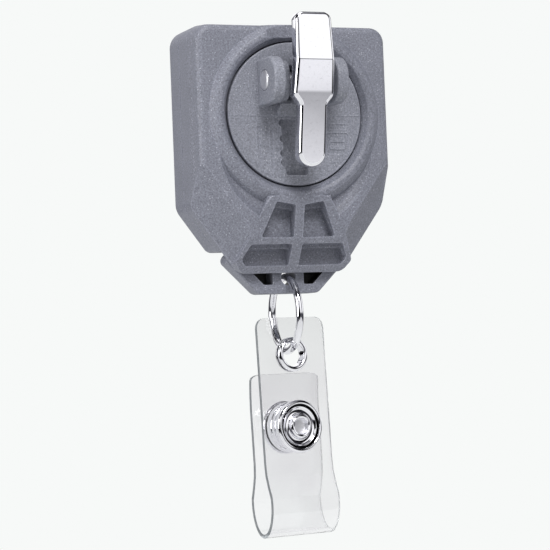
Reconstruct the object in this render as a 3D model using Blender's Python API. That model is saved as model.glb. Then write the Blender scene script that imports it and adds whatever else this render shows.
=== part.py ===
"""Retractable badge reel with a swivel spring clip, a cord end fitting, a jump ring and a vinyl strap.

The clip side of the reel faces -Y, the label side faces +Y, and +Z is up. The origin is the middle of
the grip recess in the swivel disc, under the lever's tongue. Sizes below are in millimetres from the
centre of the disc's outer face; every vertex is scaled to metres.
"""
import math

import bmesh
import bpy
from mathutils import Matrix, Vector

MM = 0.001

# ---------------------------------------------------------------- driving dimensions (millimetres)
CASE_HALF_WIDTH = 16.4
CASE_TOP = 14.3
CASE_BOTTOM = -21.0          # underside of both covers behind the lip
LIP_BOTTOM = -24.7           # lower edge of the rear cover's lip
LIP_HALF_WIDTH = 8.7
SHOULDER_Z = -14.2           # where the straight sides turn into the lower chamfers
CORNER_RADIUS = 2.5
WALL = 1.6
PARTING_Y = 7.25             # plane between the two covers, also the cord's plane
PARTING_GAP = 0.06
LABEL_FACE_Y = 12.2
CAVITY_REAR_Y = 3.0          # inner face of the rear cover
CAVITY_FRONT_Y = 10.9        # inner face of the front cover
LIP_BACK_Y = 5.2
RIM_RADIUS = 2.4             # quarter-round rim of the clip-side face
SHOULDER_BEVEL = 4.6         # broad bevel along the lower chamfers

DISC_RADIUS = 11.3
DISC_THICKNESS = 1.6
WELL_RADIUS = 11.5
CREST_Y = -0.9               # top of the raised collar
CREST_INNER = 13.5
HUB_RADIUS = 3.5

GRIP_DEPTH = 0.8             # recess under the tongue
GRIP_Z = -5.0                # middle of that recess
PIN_Y = -3.1                 # lever's hinge pin, measured from the disc face
PIN_Z = 4.8
PIN_RADIUS = 1.4
EAR_INNER = 4.3
EAR_OUTER = 6.2
EAR_HEIGHT = 8.1
CHEEK_INNER = 2.6
CHEEK_HEIGHT = 4.9

LEVER_CREASE_Z = 7.2
LEVER_CREASE_Y = -9.3
LEVER_TOP = 14.7
LEVER_TIP = -8.9
LEVER_THICKNESS = 2.1
TAB_HALF_WIDTH = 2.95
TONGUE_HALF_WIDTH = 2.3

SPOOL_Z = -1.0
SPOOL_FLANGE_RADIUS = 12.9
DRUM_RADIUS = 8.6
WOUND_RADIUS = 11.6
POST_RADIUS = 1.5
CORD_RADIUS = 0.375

FITTING_FRONT_Y = 5.5
FITTING_BACK_Y = 9.0
FITTING_TOP = -21.35
FITTING_BOTTOM = -27.95
RING_HOLE_Z = -25.4
RING_HOLE_RADIUS = 1.25
RING_RADIUS = 5.8
RING_WIRE = 0.68
RING_TOP_Z = -25.35

STRAP_Y = 5.6                # mid-plane of the long leaf at the eyelet
EYELET_Z = -37.65
STRAP_YAW = 12.0             # degrees that the hanging strap is turned about the vertical
STRAP_TILT = 3.0             # degrees that its lower end leans towards the clip side
STRAP_HALF_WIDTH = 6.35
VINYL = 0.6
LEAF_TOP = 5.9               # above the eyelet's centre
SHORT_LEAF_TOP = -2.9
SNAP_Z = -11.4
LEAF_SPACING = 3.0           # between the leaves' mid-planes at the snap
LOOP_START = -17.0
LOOP_BOTTOM = -28.2
LOOP_BULGE = 2.0
LOOP_RISE = 5.0              # from the loop's bottom to its widest level
EYELET_HOLE = 1.95
EYELET_FLANGE = 2.75

ROUND_STEPS = 48


# ---------------------------------------------------------------- helpers
def clear_scene():
    for item in list(bpy.data.objects):
        bpy.data.objects.remove(item, do_unlink=True)


def linear(channel):
    return channel / 12.92 if channel <= 0.04045 else ((channel + 0.055) / 1.055) ** 2.4


def finish(name, hex_colour, roughness, metallic=0.0, alpha=1.0):
    """A Principled material from an sRGB hex colour."""
    rgb = [linear(int(hex_colour[i:i + 2], 16) / 255) for i in (0, 2, 4)]
    made = bpy.data.materials.new(name)
    made.use_nodes = True
    shader = made.node_tree.nodes["Principled BSDF"]
    shader.inputs["Base Color"].default_value = (*rgb, 1.0)
    shader.inputs["Roughness"].default_value = roughness
    shader.inputs["Metallic"].default_value = metallic
    shader.inputs["Alpha"].default_value = alpha
    return made


def pivot(name, place, parent=None, turn=(0.0, 0.0, 0.0)):
    """An empty that carries pieces: place in mm in its parent's frame, turn in degrees."""
    empty = bpy.data.objects.new(name, None)
    bpy.context.scene.collection.objects.link(empty)
    empty.parent = parent
    empty.location = Vector(place) * MM
    empty.rotation_euler = [math.radians(angle) for angle in turn]
    return empty


def add_part(name, mesh_maker, material, parent):
    """Turn a bmesh in millimetres into a smooth-shaded object under its pivot."""
    bmesh.ops.scale(mesh_maker, vec=(MM, MM, MM), verts=mesh_maker.verts)
    bmesh.ops.recalc_face_normals(mesh_maker, faces=mesh_maker.faces)
    mesh = bpy.data.meshes.new(name)
    mesh_maker.to_mesh(mesh)
    mesh_maker.free()
    mesh.shade_smooth()
    mesh.set_sharp_from_angle(angle=math.radians(32))
    mesh.materials.append(material)
    made = bpy.data.objects.new(name, mesh)
    bpy.context.scene.collection.objects.link(made)
    made.parent = parent
    return made


def arc(centre, radius, start, end, steps):
    """Points on an arc, angles in degrees."""
    angles = [math.radians(start + (end - start) * i / steps) for i in range(steps + 1)]
    return [(centre[0] + radius * math.cos(a), centre[1] + radius * math.sin(a)) for a in angles]


def rounded(corners, steps=4):
    """A closed outline from (u, v, radius) corners, each radius drawn as an arc."""
    points = []
    count = len(corners)
    for index, (u, v, radius) in enumerate(corners):
        here = Vector((u, v))
        if radius <= 0:
            points.append(tuple(here))
            continue
        before = Vector(corners[index - 1][:2]) - here
        after = Vector(corners[(index + 1) % count][:2]) - here
        half = before.angle(after) / 2
        centre = here + (before.normalized() + after.normalized()).normalized() * radius / math.sin(half)
        first = here + before.normalized() * radius / math.tan(half) - centre
        last = here + after.normalized() * radius / math.tan(half) - centre
        sweep = first.angle_signed(last)
        start = math.atan2(first.y, first.x)
        for i in range(steps + 1):
            angle = start - sweep * i / steps
            points.append((centre.x + radius * math.cos(angle), centre.y + radius * math.sin(angle)))
    return points


def plate(outline, y0, y1):
    """Extrude an outline in the XZ plane from y0 to y1."""
    made = bmesh.new()
    face = made.faces.new([made.verts.new((x, y0, z)) for x, z in outline])
    grown = bmesh.ops.extrude_face_region(made, geom=[face])
    moved = [item for item in grown["geom"] if isinstance(item, bmesh.types.BMVert)]
    bmesh.ops.translate(made, vec=(0, y1 - y0, 0), verts=moved)
    return made


def bar(outline, x0, x1):
    """Extrude an outline in the YZ plane from x0 to x1."""
    made = plate(outline, x0, x1)
    swap = Matrix(((0, 1, 0, 0), (1, 0, 0, 0), (0, 0, 1, 0), (0, 0, 0, 1)))
    bmesh.ops.transform(made, matrix=swap, verts=made.verts)
    return made


def box(low, high):
    outline = [(low[0], low[2]), (high[0], low[2]), (high[0], high[2]), (low[0], high[2])]
    return plate(outline, low[1], high[1])


def turned(profile, steps=ROUND_STEPS, axis="Y"):
    """Spin a closed (radius, height) profile about an axis through the origin."""
    made = bmesh.new()
    verts = [made.verts.new((radius, height, 0)) for radius, height in profile]
    edges = [made.edges.new((verts[i - 1], verts[i])) for i in range(len(verts))]
    bmesh.ops.spin(made, geom=verts + edges, cent=(0, 0, 0), axis=(0, 1, 0), angle=2 * math.pi,
                   steps=steps, use_merge=True)
    bmesh.ops.remove_doubles(made, verts=made.verts, dist=1e-5)
    loose = [edge for edge in made.edges if not edge.link_faces]
    bmesh.ops.delete(made, geom=loose, context="EDGES")
    turns = {"Y": Matrix(), "X": Matrix.Rotation(math.radians(-90), 4, "Z"),
             "Z": Matrix.Rotation(math.radians(90), 4, "X")}
    bmesh.ops.transform(made, matrix=turns[axis], verts=made.verts)
    return made


def moved(made, offset):
    bmesh.ops.translate(made, vec=offset, verts=made.verts)
    return made


def rod(radius, start, end, axis="Y", steps=ROUND_STEPS):
    return turned([(0, start), (radius, start), (radius, end), (0, end)], steps, axis)


def tube(points, radius, sides=8):
    """A closed round tube along a list of points, its cross-sections square to the route."""
    made = bmesh.new()
    rings = []
    for index, point in enumerate(points):
        here = Vector(point)
        ahead = Vector(points[min(index + 1, len(points) - 1)]) - Vector(points[max(index - 1, 0)])
        turn = ahead.to_track_quat("Z", "Y")
        ring = []
        for side in range(sides):
            angle = 2 * math.pi * side / sides
            spoke = Vector((math.cos(angle), math.sin(angle), 0)) * radius
            ring.append(made.verts.new(here + turn @ spoke))
        rings.append(ring)
    for first, second in zip(rings, rings[1:]):
        for side in range(sides):
            after = (side + 1) % sides
            made.faces.new((first[side], first[after], second[after], second[side]))
    made.faces.new(rings[0])
    made.faces.new(rings[-1])
    return made


def scratch_object(made):
    """A temporary object for a boolean, in millimetres."""
    bmesh.ops.recalc_face_normals(made, faces=made.faces)
    mesh = bpy.data.meshes.new("scratch")
    made.to_mesh(mesh)
    made.free()
    held = bpy.data.objects.new("scratch", mesh)
    bpy.context.scene.collection.objects.link(held)
    held.hide_render = True
    held.display_type = "WIRE"
    return held


def shaped(base, steps):
    """Apply a list of (boolean operation, bmesh) steps to a bmesh and return the result."""
    target = scratch_object(base)
    tools = []
    for operation, tool in steps:
        tools.append(scratch_object(tool))
        modifier = target.modifiers.new("cut", "BOOLEAN")
        modifier.operation = operation
        modifier.solver = "EXACT"
        modifier.object = tools[-1]
    evaluated = target.evaluated_get(bpy.context.evaluated_depsgraph_get())
    result = bmesh.new()
    result.from_mesh(evaluated.to_mesh())
    evaluated.to_mesh_clear()
    for spent in [target] + tools:
        bpy.data.objects.remove(spent, do_unlink=True)
    bmesh.ops.remove_doubles(result, verts=result.verts, dist=1e-4)
    bmesh.ops.dissolve_limit(result, angle_limit=math.radians(0.5), verts=result.verts,
                             edges=result.edges)
    return result


def loft(levels):
    """Join (outline, y) levels, all with the same number of points, into a closed body."""
    made = bmesh.new()
    rings = [[made.verts.new((x, y, z)) for x, z in outline] for outline, y in levels]
    for first, second in zip(rings, rings[1:]):
        for i in range(len(first)):
            made.faces.new((first[i - 1], first[i], second[i], second[i - 1]))
    made.faces.new(rings[0])
    made.faces.new(rings[-1])
    return made


def bevel_face_rim(made, y, width, segments):
    """Round the edges that lie wholly in the plane at height y."""
    rim = [edge for edge in made.edges if all(abs(vert.co.y - y) < 1e-4 for vert in edge.verts)]
    bmesh.ops.bevel(made, geom=rim, offset=width, offset_type="OFFSET", segments=segments,
                    profile=0.5, affect="EDGES", material=-1)
    return made


# ---------------------------------------------------------------- case outline
def chamfer_x(z, inset=0.0):
    """Half width of the lower chamfer at height z, moved inwards by inset."""
    run = CASE_HALF_WIDTH - LIP_HALF_WIDTH
    rise = SHOULDER_Z - LIP_BOTTOM
    shift = inset * math.hypot(run, rise) / rise
    return LIP_HALF_WIDTH + (z - LIP_BOTTOM) * run / rise - shift


def chamfer_z(x, inset=0.0):
    """Height at which the inset chamfer reaches half width x."""
    run = CASE_HALF_WIDTH - LIP_HALF_WIDTH
    rise = SHOULDER_Z - LIP_BOTTOM
    shift = inset * math.hypot(run, rise) / rise
    return LIP_BOTTOM + (x + shift - LIP_HALF_WIDTH) * rise / run


def case_outline(bottom, inset=0.0, bottom_radius=1.0, chamfer_inset=None):
    """The case's outline moved inwards; the lower chamfers may be moved by a different amount."""
    if chamfer_inset is None:
        chamfer_inset = inset
    half = CASE_HALF_WIDTH - inset
    low_half = chamfer_x(bottom, chamfer_inset)
    shoulder = chamfer_z(half, chamfer_inset)
    corner = max(CORNER_RADIUS - inset, 0.5)
    right = [(half, CASE_TOP - inset, corner), (half, shoulder, 1.0), (low_half, bottom, bottom_radius)]
    left = [(-x, z, radius) for x, z, radius in reversed(right)]
    return rounded(right + left)


def cavity_outline():
    """The hollow's outline, with extra wall behind the broad bevels."""
    return case_outline(CASE_BOTTOM + WALL, WALL, 1.0, SHOULDER_BEVEL - CAVITY_REAR_Y + WALL)


def edge_inset(radius, depth):
    """How far a quarter-round edge stands in from the side at a depth below the face."""
    return radius - math.sqrt(max(radius ** 2 - (radius - min(depth, radius)) ** 2, 0.0))


# ---------------------------------------------------------------- clip base (root)
def ear(side):
    """One D-shaped ear with its lower inner cheek."""
    tall = rounded([(0.6, 1.1, 0), (0.6, 8.2, 0), (-EAR_HEIGHT, 8.2, 3.2), (-EAR_HEIGHT, 1.1, 3.2)], 6)
    low = rounded([(0.6, 1.6, 0), (0.6, 7.9, 0), (-CHEEK_HEIGHT, 7.9, 1.8), (-CHEEK_HEIGHT, 1.6, 1.8)], 4)
    outer = bar(tall, *sorted((side * EAR_INNER, side * EAR_OUTER)))
    cheek = bar(low, *sorted((side * CHEEK_INNER, side * (EAR_INNER + 0.2))))
    return [("UNION", outer), ("UNION", cheek)]


def grip_recess():
    """The tapered recess under the tongue."""
    top_z, low_z = -0.9, -9.6
    return plate([(-2.5, top_z), (2.5, top_z), (1.9, low_z), (-1.9, low_z)], -1.0, GRIP_DEPTH)


def swivel_disc():
    base = turned([(0, 0), (DISC_RADIUS - 0.2, 0), (DISC_RADIUS, 0.2), (DISC_RADIUS, DISC_THICKNESS),
                   (HUB_RADIUS, DISC_THICKNESS), (HUB_RADIUS, CAVITY_REAR_Y + 0.1),
                   (0, CAVITY_REAR_Y + 0.1)], 60)
    steps = ear(-1) + ear(1)
    gusset = bar([(0.6, -0.3), (0, -0.3), (-1.3, 1.4), (-1.3, 1.9), (0.6, 1.9)], -CHEEK_INNER - 0.3,
                 CHEEK_INNER + 0.3)
    bore = moved(rod(PIN_RADIUS + 0.05, -EAR_OUTER - 1, EAR_OUTER + 1, "X", 24), (0, PIN_Y, PIN_Z))
    screw_hole = rod(0.65, 1.0, 4.0, "Y", 16)
    steps += [("UNION", gusset), ("DIFFERENCE", grip_recess()), ("DIFFERENCE", bore),
              ("DIFFERENCE", screw_hole)]
    return shaped(base, steps)


def hinge_pin():
    length = EAR_OUTER + 0.25
    return turned([(0, -length), (PIN_RADIUS - 0.25, -length), (PIN_RADIUS, -length + 0.25),
                   (PIN_RADIUS, length - 0.25), (PIN_RADIUS - 0.25, length), (0, length)], 24, "X")


def torsion_spring():
    """A coil round the hinge pin, with one leg on the disc and one behind the finger tab."""
    wire, coil, turns, per_turn = 0.22, 1.78, 4.25, 12
    count = int(turns * per_turn)
    points = []
    for i in range(count + 1):
        angle = math.radians(90) + 2 * math.pi * turns * i / count
        across = -1.2 + 2.4 * i / count
        points.append((across, coil * math.cos(angle), coil * math.sin(angle)))
    disc_leg = [(-1.2, 2.55, 1.2 + coil), (-1.2, 1.0, coil + 0.1)]
    tab_leg = [(1.2, -2.0, 1.0), (1.2, -2.35, 4.5)]
    return tube(disc_leg + points + tab_leg, wire, 6)


def retaining_washer():
    start = CAVITY_REAR_Y + 0.15
    return turned([(0.85, start), (5.2, start), (5.2, start + 0.45), (0.85, start + 0.45)], 32)


def retaining_screw():
    """A small pan-head screw from inside the case into the disc's hub."""
    head = CAVITY_REAR_Y + 0.65
    return turned([(0, 1.3), (0.55, 1.3), (0.55, head), (1.6, head), (1.6, head + 0.35),
                   (1.2, head + 0.7), (0, head + 0.8)], 20)


# ---------------------------------------------------------------- lever
def lever_front_y(z):
    """Depth of the lever's near face at height z: a shallow V with its crease above the pin."""
    if z > LEVER_CREASE_Z:
        return LEVER_CREASE_Y + (z - LEVER_CREASE_Z) * 0.05
    below = LEVER_CREASE_Z - z
    return LEVER_CREASE_Y + below * 0.235 - max(below - 4.5, 0) * 0.06


def clip_lever():
    """The bent bar, then two lugs with the pin's bore, in the lever pivot's frame."""
    tip_radius = TONGUE_HALF_WIDTH - 0.1
    outline = rounded([(TAB_HALF_WIDTH, LEVER_TOP, 1.2), (TAB_HALF_WIDTH + 0.35, 1.9, 0.8),
                       (TONGUE_HALF_WIDTH, 0.6, 0.8), (TONGUE_HALF_WIDTH, LEVER_TIP, tip_radius),
                       (-TONGUE_HALF_WIDTH, LEVER_TIP, tip_radius), (-TONGUE_HALF_WIDTH, 0.6, 0.8),
                       (-TAB_HALF_WIDTH - 0.35, 1.9, 0.8), (-TAB_HALF_WIDTH, LEVER_TOP, 1.2)])
    blade = plate(outline, 0, LEVER_THICKNESS)
    for height in (LEVER_CREASE_Z, LEVER_CREASE_Z - 4.5):
        bmesh.ops.bisect_plane(blade, geom=blade.verts[:] + blade.edges[:] + blade.faces[:],
                               plane_co=(0, 0, height), plane_no=(0, 0, 1))
    bevel_face_rim(blade, 0, 0.3, 2)
    for vert in blade.verts:
        vert.co.y += lever_front_y(vert.co.z)
    steps = []
    for side in (-1, 1):
        lug = moved(rod(2.3, min(side * 1.75, side * 2.4), max(side * 1.75, side * 2.4), "X", 24),
                    (0, PIN_Y, PIN_Z))
        neck = bar([(PIN_Y, PIN_Z - 2.2), (PIN_Y, PIN_Z + 2.2), (-7.2, PIN_Z + 2.2), (-7.2, PIN_Z - 2.2)],
                   *sorted((side * 1.75, side * 2.4)))
        steps += [("UNION", lug), ("UNION", neck)]
    steps.append(("DIFFERENCE", moved(rod(PIN_RADIUS + 0.06, -4, 4, "X", 24), (0, PIN_Y, PIN_Z))))
    return moved(shaped(blade, steps), (0, -PIN_Y, -PIN_Z))


# ---------------------------------------------------------------- covers
def well_ring():
    """The disc's well with its floor, sloped mouth and raised collar, kept inside the case's outline."""
    bore = HUB_RADIUS + 0.06
    floor = DISC_THICKNESS + 0.15
    back = CAVITY_REAR_Y + 0.05
    ring = turned([(bore, floor), (WELL_RADIUS, floor), (WELL_RADIUS, 0.3), (CREST_INNER, CREST_Y + 0.1),
                   (CREST_INNER, CREST_Y), (CREST_INNER + 0.4, CREST_Y),
                   (CREST_INNER + 0.75, CREST_Y + 0.12), (15.2, 0.05), (15.2, back), (bore, back)], 60)
    inside = plate(case_outline(LIP_BOTTOM, 0.02, 2.4), -2, back + 1)
    return shaped(ring, [("INTERSECT", inside)])


def web_block():
    """The raised block under the collar that holds the four ribbed pockets."""
    wide = chamfer_x(-23.0) - 0.05
    under_collar = arc((0, 0), CREST_INNER + 0.2, -112, -68, 6)
    foot = rounded([(wide, -23.0, 0), (LIP_HALF_WIDTH - 0.1, LIP_BOTTOM, 1.8),
                    (-LIP_HALF_WIDTH + 0.1, LIP_BOTTOM, 1.8), (-wide, -23.0, 0)])
    return plate(under_collar + foot, CREST_Y + 0.04, LIP_BACK_Y - 0.5)


def slope_cutter():
    """Everything in front of the web's two sloping faces."""
    return bar([(-3, -13.3), (CREST_Y - 0.02, -13.3), (0.8, -19.8), (4.1, -24.9), (4.1, -28), (-3, -28)],
               -20, 20)


def pocket(side, corners, floor_y):
    outline = rounded([(side * x, z, radius) for x, z, radius in corners], 3)
    return plate(outline, -3, floor_y)


def pockets():
    upper = [(0.75, -14.2, 0.2), (3.85, -13.6, 0.3), (6.25, -19.2, 0.3), (0.75, -19.35, 0.2)]
    lower = [(0.85, -20.3, 0.2), (7.75, -20.3, 0.3), (8.9, -22.6, 0.5), (8.0, -23.6, 0.5),
             (0.85, -23.6, 0.2)]
    made = []
    for side in (-1, 1):
        made.append(("DIFFERENCE", pocket(side, upper, 2.2)))
        made.append(("DIFFERENCE", pocket(side, lower, 4.25)))
    return made


def cord_exit():
    """The bush's seat through the bottom wall, centred on the parting plane."""
    return moved(rod(1.6, CASE_BOTTOM - 1, -17.0, "Z", 24), (0, PARTING_Y, 0))


def rear_shell():
    """The rear cover's block: a quarter-round rim and a broad bevel along each lower chamfer."""
    levels = []
    for y in (0.0, 0.25, 0.8, 1.6, RIM_RADIUS, SHOULDER_BEVEL, PARTING_Y - PARTING_GAP / 2):
        chamfer_inset = max(SHOULDER_BEVEL - y, 0.0)
        levels.append((case_outline(LIP_BOTTOM, edge_inset(RIM_RADIUS, y), 2.4, chamfer_inset), y))
    return loft(levels)


def rear_cover():
    shell = rear_shell()
    cavity = plate(cavity_outline(), CAVITY_REAR_Y, PARTING_Y + 1)
    steps = [("UNION", web_block()), ("DIFFERENCE", cavity), ("DIFFERENCE", slope_cutter()),
             ("DIFFERENCE", rod(CREST_INNER - 0.8, -3, 6, "Y", 60)), ("UNION", well_ring())]
    steps += pockets()
    steps += [("DIFFERENCE", box((-4.6, -3, 10.8), (4.6, 0.4, 20))),
              ("DIFFERENCE", box((-20, LIP_BACK_Y, -30), (20, 12, CASE_BOTTOM))),
              ("DIFFERENCE", cord_exit())]
    return shaped(shell, steps)


def front_cover():
    shell = plate(case_outline(CASE_BOTTOM), LABEL_FACE_Y, PARTING_Y + PARTING_GAP / 2)
    bevel_face_rim(shell, LABEL_FACE_Y, 0.8, 2)
    cavity = plate(cavity_outline(), PARTING_Y - 1, CAVITY_FRONT_Y)
    half, top, low = 13.2, 11.2, -14.4
    label = rounded([(half, top, 1.5), (half, low, 1.5), (-half, low, 1.5), (-half, top, 1.5)], 3)
    boss = moved(rod(3.0, 10.6, CAVITY_FRONT_Y + 0.3, "Y", 32), (0, 0, SPOOL_Z))
    hole = moved(rod(POST_RADIUS + 0.03, 9, 11.65, "Y", 24), (0, 0, SPOOL_Z))
    return shaped(shell, [("DIFFERENCE", cavity), ("UNION", boss), ("DIFFERENCE", hole),
                          ("DIFFERENCE", plate(label, LABEL_FACE_Y - 0.25, 14)),
                          ("DIFFERENCE", cord_exit())])


def axle_post():
    """The spool's axle with a chamfered inner end."""
    return turned([(0, 4.75), (POST_RADIUS - 0.3, 4.75), (POST_RADIUS, 5.05), (POST_RADIUS, 11.6),
                   (0, 11.6)], 24)


def cord_bush():
    """A flanged guide ring on the vertical axis, seated between the covers."""
    top = CASE_BOTTOM + WALL
    return turned([(0.6, CASE_BOTTOM + 0.3), (0.8, CASE_BOTTOM + 0.1), (1.5, CASE_BOTTOM + 0.1),
                   (1.5, top + 0.1), (2.2, top + 0.1), (2.2, top + 0.5), (1.8, top + 0.5),
                   (1.1, top + 0.25), (0.6, top - 0.4)], 24, "Z")


# ---------------------------------------------------------------- spool
def spool():
    bore, web, low, high = POST_RADIUS + 0.08, 8.6, 5.0, 9.35
    return turned([(bore, web), (DRUM_RADIUS - 0.8, web), (DRUM_RADIUS - 0.8, low), (DRUM_RADIUS, low),
                   (DRUM_RADIUS, 5.4), (SPOOL_FLANGE_RADIUS, 5.4), (SPOOL_FLANGE_RADIUS, 6.05),
                   (DRUM_RADIUS, 6.05), (DRUM_RADIUS, 8.45), (SPOOL_FLANGE_RADIUS, 8.45),
                   (SPOOL_FLANGE_RADIUS, 9.1), (DRUM_RADIUS, 9.1), (DRUM_RADIUS - 0.3, high),
                   (3.2, high), (3.2, 10.2), (bore, 10.2)], 40)


def spool_cap():
    return turned([(POST_RADIUS + 0.1, 5.05), (DRUM_RADIUS - 0.85, 5.05), (DRUM_RADIUS - 0.85, 5.4),
                   (POST_RADIUS + 0.1, 5.4)], 40)


def thrust_washer():
    return turned([(POST_RADIUS + 0.08, 10.3), (2.9, 10.3), (2.9, 10.5), (POST_RADIUS + 0.08, 10.5)], 24)


def power_spring():
    """A flat strip wound in a spiral between the axle post and the drum."""
    turns, per_turn, thickness = 5, 20, 0.16
    inner, outer, low, high = 2.2, DRUM_RADIUS - 1.1, 5.5, 8.5
    count = turns * per_turn
    made = bmesh.new()
    sections = []
    for i in range(count + 1):
        angle = 2 * math.pi * i / per_turn
        radius = inner + (outer - inner) * i / count
        spoke = Vector((math.cos(angle), 0, math.sin(angle)))
        corners = [spoke * radius, spoke * (radius + thickness)]
        sections.append([made.verts.new(corner + Vector((0, y, 0)))
                         for corner, y in ((corners[0], low), (corners[1], low), (corners[1], high),
                                           (corners[0], high))])
    for first, second in zip(sections, sections[1:]):
        for side in range(4):
            after = (side + 1) % 4
            made.faces.new((first[side], first[after], second[after], second[side]))
    made.faces.new(sections[0])
    made.faces.new(sections[-1])
    return made


def wound_cord():
    return turned([(DRUM_RADIUS + 0.06, 6.15), (WOUND_RADIUS - 0.3, 6.15), (WOUND_RADIUS, 6.6),
                   (WOUND_RADIUS, 7.9), (WOUND_RADIUS - 0.3, 8.35), (DRUM_RADIUS + 0.06, 8.35)], 40)


# ---------------------------------------------------------------- cord end
def cord_route():
    """From the winding, straight to the bush, then down into the end fitting."""
    radius = WOUND_RADIUS + CORD_RADIUS + 0.06
    bush_z = CASE_BOTTOM + WALL
    distance = SPOOL_Z - bush_z
    lean = math.asin(radius / distance)
    foot = Vector((-radius * math.cos(lean), SPOOL_Z - radius * math.sin(lean)))
    bend = Vector((0, bush_z))
    corners = [foot, foot.lerp(bend, 0.5), foot.lerp(bend, 0.9), bend + Vector((-0.55, 0.55)),
               bend + Vector((-0.12, -0.1)), bend + Vector((0, -0.6)), Vector((0, CASE_BOTTOM)),
               Vector((0, -21.78))]
    return [(point.x, 0, point.y) for point in corners]


def cord_lead():
    return tube(cord_route(), CORD_RADIUS, 8)


def end_fitting():
    outline = rounded([(9.6, FITTING_TOP, 1.0), (10.5, -22.6, 0.9), (5.1, FITTING_BOTTOM, 1.3),
                       (-5.1, FITTING_BOTTOM, 1.3), (-10.5, -22.6, 0.9), (-9.6, FITTING_TOP, 1.0)], 3)
    body = plate(outline, FITTING_FRONT_Y, FITTING_BACK_Y)
    bevel_face_rim(body, FITTING_FRONT_Y, 0.3, 1)
    bevel_face_rim(body, FITTING_BACK_Y, 0.3, 1)
    steps = []
    for side in (-1, 1):
        window = rounded([(side * 2.65, -22.8, 0.2), (side * 8.3, -22.8, 0.3), (side * 4.2, -26.5, 0.4),
                          (side * 2.65, -26.5, 0.2)], 2)
        steps.append(("DIFFERENCE", plate(window, 4, FITTING_BACK_Y - 0.8)))
    ring_hole = moved(rod(RING_HOLE_RADIUS, 4, 10, "Y", 24), (0, 0, RING_HOLE_Z))
    crimp_seat = moved(rod(0.98, 6.25, 10, "Y", 20), (0, 0, -22.75))
    cord_bore = moved(rod(0.5, -22.4, -20, "Z", 16), (0, PARTING_Y, 0))
    steps += [("DIFFERENCE", ring_hole), ("DIFFERENCE", crimp_seat), ("DIFFERENCE", cord_bore)]
    return moved(shaped(body, steps), (0, -PARTING_Y, 0))


def cord_crimp():
    """A round bead that keeps the cord's end in the fitting."""
    radius = 0.85
    profile = [(0, -radius)] + arc((0, 0), radius, -60, 60, 6) + [(0, radius)]
    return moved(turned(profile, 16, "Z"), (0, 0, -22.75))


# ---------------------------------------------------------------- ring
def jump_ring():
    profile = arc((RING_RADIUS, 0), RING_WIRE, 0, 315, 7)
    return turned(profile, 32, "X")


# ---------------------------------------------------------------- strap
def loop_profile():
    """Mid-line of the vinyl from the long leaf's bend, round the loop, to the short leaf's bend."""
    gap = LEAF_SPACING
    centre = Vector((gap / 2, LOOP_BOTTOM + LOOP_RISE))
    radius_y = gap / 2 + LOOP_BULGE
    near = [(0, LOOP_START), (-0.15, LOOP_START - 1.8), (-0.62, LOOP_START - 3.6)]
    bowl = [(centre.x + radius_y * math.cos(math.radians(angle)),
             centre.y + LOOP_RISE * math.sin(math.radians(angle))) for angle in range(170, 371, 10)]
    far = [(gap - y, z) for y, z in reversed(near)]
    return near + bowl + far


def strip(points, thickness, half_width):
    """A band of vinyl along (y, z) mid-line points, closed, along X."""
    outer, inner = [], []
    for index, point in enumerate(points):
        ahead = Vector(points[min(index + 1, len(points) - 1)]) - Vector(points[max(index - 1, 0)])
        side = Vector((-ahead.y, ahead.x)).normalized() * thickness / 2
        outer.append(tuple(Vector(point) + side))
        inner.append(tuple(Vector(point) - side))
    return bar(outer + inner[::-1], -half_width, half_width)


def leaf_points(first, last, y):
    return [(y, first), (y, last)]


def round_leaf_top(top, radius):
    """Cutters that round the two upper corners of a leaf."""
    cutters = []
    for side in (-1, 1):
        corner = (side * STRAP_HALF_WIDTH, top)
        centre = (side * (STRAP_HALF_WIDTH - radius), top - radius)
        start, end = (0, 90) if side > 0 else (180, 90)
        curve = arc(centre, radius, start, end, 5)
        outline = curve + [(corner[0] - side * radius, top + 1), (corner[0] + side, top + 1),
                           (corner[0] + side, top - radius)]
        cutters.append(("DIFFERENCE", plate(outline, -2, LEAF_SPACING + 2)))
    return cutters


def split_loop():
    points = loop_profile()
    middle = len(points) // 2
    return points[:middle + 1], points[middle:]


def pulled_back(points, first, amount):
    """Shorten a mid-line at one end so that the two halves don't touch."""
    end, neighbour = (0, 1) if first else (-1, -2)
    tip = Vector(points[end])
    points[end] = tuple(tip + (Vector(points[neighbour]) - tip).normalized() * amount)
    return points


def strap_long_leaf():
    near, _ = split_loop()
    band = strip([(0, LEAF_TOP)] + pulled_back(near, False, 0.1), VINYL, STRAP_HALF_WIDTH)
    steps = round_leaf_top(LEAF_TOP, 2.0)
    steps.append(("DIFFERENCE", rod(EYELET_HOLE + 0.4, -1, 1, "Y", 24)))
    steps.append(("DIFFERENCE", moved(rod(1.3, -1, 1, "Y", 20), (0, 0, SNAP_Z))))
    return shaped(band, steps)


def strap_short_leaf():
    _, far = split_loop()
    band = strip(pulled_back(far, True, 0.1) + [(LEAF_SPACING, SHORT_LEAF_TOP)], VINYL,
                 STRAP_HALF_WIDTH)
    steps = round_leaf_top(SHORT_LEAF_TOP, 2.0)
    steps.append(("DIFFERENCE", moved(rod(1.3, LEAF_SPACING - 1, LEAF_SPACING + 1, "Y", 20),
                                      (0, 0, SNAP_Z))))
    return shaped(band, steps)


def eyelet():
    """Rolled rims on both sides of the leaf round a short barrel."""
    face = VINYL / 2 + 0.04
    rim = [(EYELET_FLANGE, face), (EYELET_FLANGE, face + 0.25), (EYELET_FLANGE - 0.35, face + 0.55),
           (EYELET_HOLE + 0.25, face + 0.55), (EYELET_HOLE, face + 0.2)]
    barrel = EYELET_HOLE + 0.3
    profile = rim + [(radius, -y) for radius, y in reversed(rim)] + [(barrel, -face), (barrel, face)]
    return turned(profile, 28)


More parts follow.
